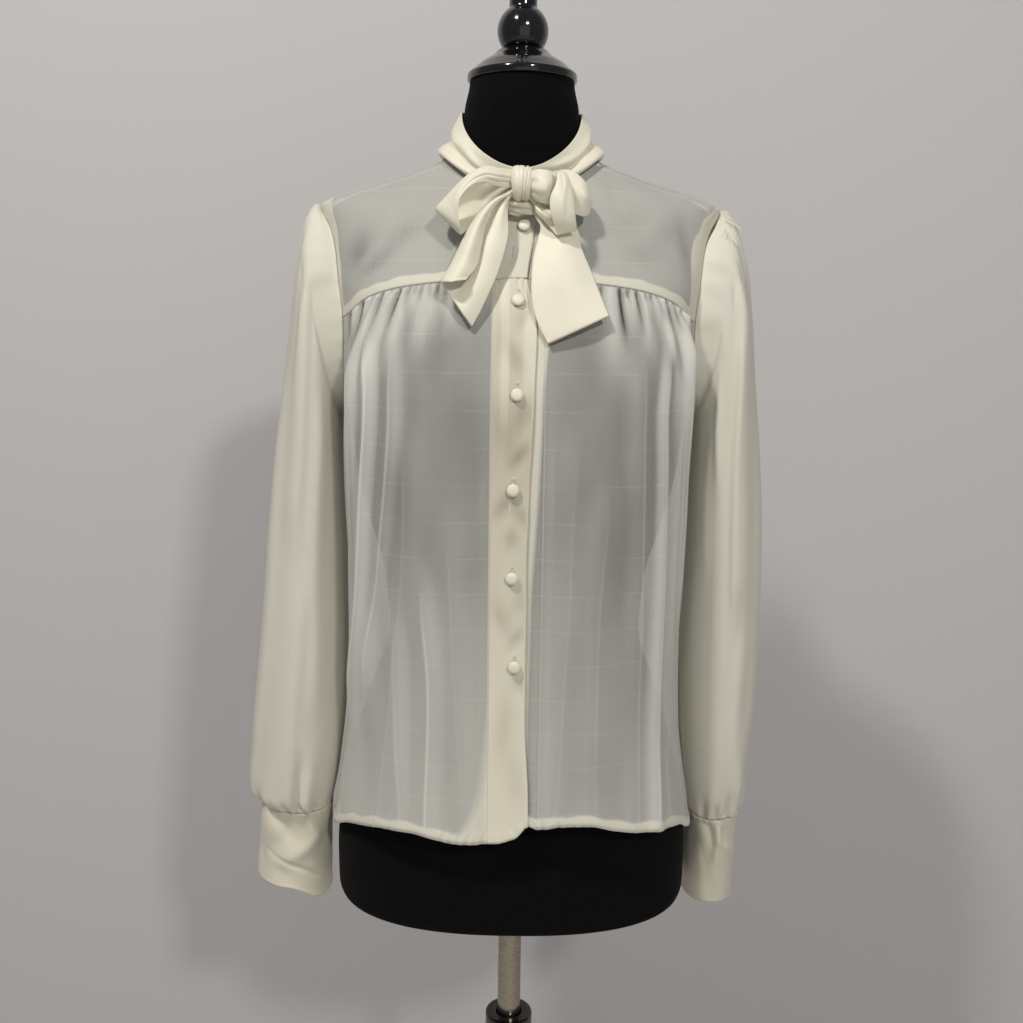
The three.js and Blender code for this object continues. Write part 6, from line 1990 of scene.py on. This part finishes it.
class BLOUSE_OT_buttons(bpy.types.Operator):
    """Build the covered buttons of the band and of the cuffs"""

    bl_idname = "blouse.buttons"
    bl_label = "Buttons"

    def execute(self, context):
        for i, (x, z) in enumerate(zip(BUTTONS["x"], BUTTONS["z"])):
            seat = on_face(x, z, -1)
            out = body_normals(seat)
            stand = lap_rise(x) + CLOTH_WALL / 2 + REST_GAP
            covered_button(f"button_cover_{i + 1}", f"button_{i + 1}", seat + out * stand, out)
        for word, side in (("right", -1), ("left", 1)):
            upper = {key: values[-1] for key, values in SLEEVES[word].items()}
            ring = {key: mix(upper[key], CUFFS[word][key], CUFF_LAP["button_drop"]) for key in upper}
            angle = CUFF_LAP["start"] + CUFF_LAP["lap"] / 2
            seat, ahead, behind = (ring_points(ring, side, angle + step) for step in (0, 1, -1))
            out = unit(np.cross(ahead - behind, [0, 0, -1]))
            out = -out if out[0] * side < 0 else out
            stand = CUFF_LAP["lift"] + CUFF_WALL / 2 + CUFF_BUTTON_STAND[word]
            covered_button(f"cuff_button_cover_{word}", f"cuff_button_{word}", seat + out * stand, out)
        return {"FINISHED"}


class BLOUSE_OT_threads(bpy.types.Operator):
    """Build the worked buttonholes and the loose threads of the torn shoulder seam"""

    bl_idname = "blouse.threads"
    bl_label = "Buttonholes and threads"

    def execute(self, context):
        holes = [buttonhole_path(x, z) for x, z in zip(BUTTONS["x"][1:], BUTTONS["z"][1:])]
        threads("buttonhole_threads", holes, 0.35)
        threads("frayed_threads", fray_paths(), 0.28)
        return {"FINISHED"}


CAMERA = {"place": (-0.004, -0.98, 1.33), "pitch": 9.7, "roll": 0.8, "lens": 38.816, "sensor": 36.0}
WALL_Y = 0.52
ROOM = 3.2
LAMPS = [
    # name, place, what it points at, side of its square, watts
    ("key", (-0.95, -1.3, 3.25), (0, 0, 1.15), 0.2, 37),
    ("second", (0.8, -2.2, 2.5), (0, 0, 1.1), 0.2, 23),
    ("fill", (0.4, -2.8, 0.9), (0, 0, 1.05), 2.4, 7),
]


def plane(name, corners, material):
    """A flat sheet between four corners."""
    mesh = bpy.data.meshes.new(name)
    mesh.from_pydata(corners, [], [(0, 1, 2, 3)])
    mesh.materials.append(material)
    piece = bpy.data.objects.new(name, mesh)
    bpy.context.scene.collection.objects.link(piece)
    return piece


def wall_paint(name, base):
    """Matt emulsion paint with a roller's fine texture. Seen from behind the wall is left out, so
    that it doesn't stand between the back of the form and a camera there."""
    material, tree, shader = start_material(name, 0.9, base, Specular_IOR_Level=0.25)
    place = object_place(tree)
    bumped(tree, shader, noise(tree, place, 0.004, (1, 1, 1), 3), 0.0003, 0.3)
    behind = add_node(tree, "ShaderNodeNewGeometry").outputs["Backfacing"]
    clear = add_node(tree, "ShaderNodeBsdfTransparent")
    either = add_node(tree, "ShaderNodeMixShader", {0: behind, 1: shader.outputs[0], 2: clear.outputs[0]})
    tree.links.new(either.outputs[0], tree.nodes["Material Output"].inputs["Surface"])
    return material


class BLOUSE_OT_stage(bpy.types.Operator):
    """Build the floor, the wall, the lamps and the camera"""

    bl_idname = "blouse.stage"
    bl_label = "Stage"

    def execute(self, context):
        """The room's surfaces, then its lamps and its camera."""
        colours = context.scene.blouse_colours
        floor = [(-ROOM, -ROOM, 0), (ROOM, -ROOM, 0), (ROOM, WALL_Y, 0), (-ROOM, WALL_Y, 0)]
        plane("floor", floor, wall_paint("floor paint", colours.floor))
        wall = [(-ROOM, WALL_Y, 0), (ROOM, WALL_Y, 0), (ROOM, WALL_Y, ROOM), (-ROOM, WALL_Y, ROOM)]
        plane("wall", wall, wall_paint("wall paint", colours.wall))
        for name, place, target, size, watts in LAMPS:
            lamp = bpy.data.lights.new(name, "AREA")
            lamp.size = size
            lamp.energy = watts
            lamp.color = linear("#FFFAF2")
            thing = bpy.data.objects.new(name, lamp)
            context.scene.collection.objects.link(thing)
            away = np.array(place) - np.array(target)
            turn = Matrix.Rotation(math.atan2(away[0], -away[1]), 4, "Z")
            tilt = Matrix.Rotation(math.atan2(math.hypot(away[0], away[1]), away[2]), 4, "X")
            thing.matrix_world = Matrix.Translation(place) @ turn @ tilt
        world = bpy.data.worlds.new("room light")
        world.use_nodes = True
        background = world.node_tree.nodes["Background"]
        background.inputs["Color"].default_value = (*linear("#E9ECF2"), 1)
        background.inputs["Strength"].default_value = 0.25
        context.scene.world = world
        context.scene.view_settings.view_transform = "Standard"
        data = bpy.data.cameras.new("camera")
        data.lens = CAMERA["lens"]
        data.sensor_width = CAMERA["sensor"]
        camera = bpy.data.objects.new("camera", data)
        context.scene.collection.objects.link(camera)
        tilt = Matrix.Rotation(math.radians(90 - CAMERA["pitch"]), 4, "X")
        roll = Matrix.Rotation(math.radians(CAMERA["roll"]), 4, "Z")
        camera.matrix_world = Matrix.Translation(CAMERA["place"]) @ tilt @ roll
        context.scene.camera = camera
        return {"FINISHED"}


class BLOUSE_PT_panel(bpy.types.Panel):
    """Lists the sizes, the colours and the steps of the build"""

    bl_idname = "BLOUSE_PT_panel"
    bl_label = "Tie neck blouse"
    bl_space_type = "VIEW_3D"
    bl_region_type = "UI"
    bl_category = "Blouse"

    def draw(self, context):
        """Every size and colour, then a button for each operator."""
        layout = self.layout
        for group in (context.scene.blouse_sizes, context.scene.blouse_colours):
            box = layout.box()
            for key in group.__annotations__:
                box.prop(group, key)
        for step in STEPS:
            layout.operator(step.bl_idname)


STEPS = [
    BLOUSE_OT_stage,
    BLOUSE_OT_form,
    BLOUSE_OT_stand,
    BLOUSE_OT_body,
    BLOUSE_OT_band,
    BLOUSE_OT_sleeves,
    BLOUSE_OT_cuffs,
    BLOUSE_OT_tie,
    BLOUSE_OT_buttons,
    BLOUSE_OT_threads,
]
CLASSES = [BlouseSizes, BlouseColours, *STEPS, BLOUSE_PT_panel]


def register():
    """Adds the classes and hangs the sizes and colours on the scene."""
    for each in CLASSES:
        bpy.utils.register_class(each)
    bpy.types.Scene.blouse_sizes = PointerProperty(type=BlouseSizes)
    bpy.types.Scene.blouse_colours = PointerProperty(type=BlouseColours)


def unregister():
    """Takes them off again in the opposite order."""
    del bpy.types.Scene.blouse_colours
    del bpy.types.Scene.blouse_sizes
    for each in reversed(CLASSES):
        bpy.utils.unregister_class(each)


def main():
    """Builds everything in order."""
    register()
    for step in STEPS:
        group, name = step.bl_idname.split(".")
        getattr(getattr(bpy.ops, group), name)()


if __name__ == "__main__":
    main()
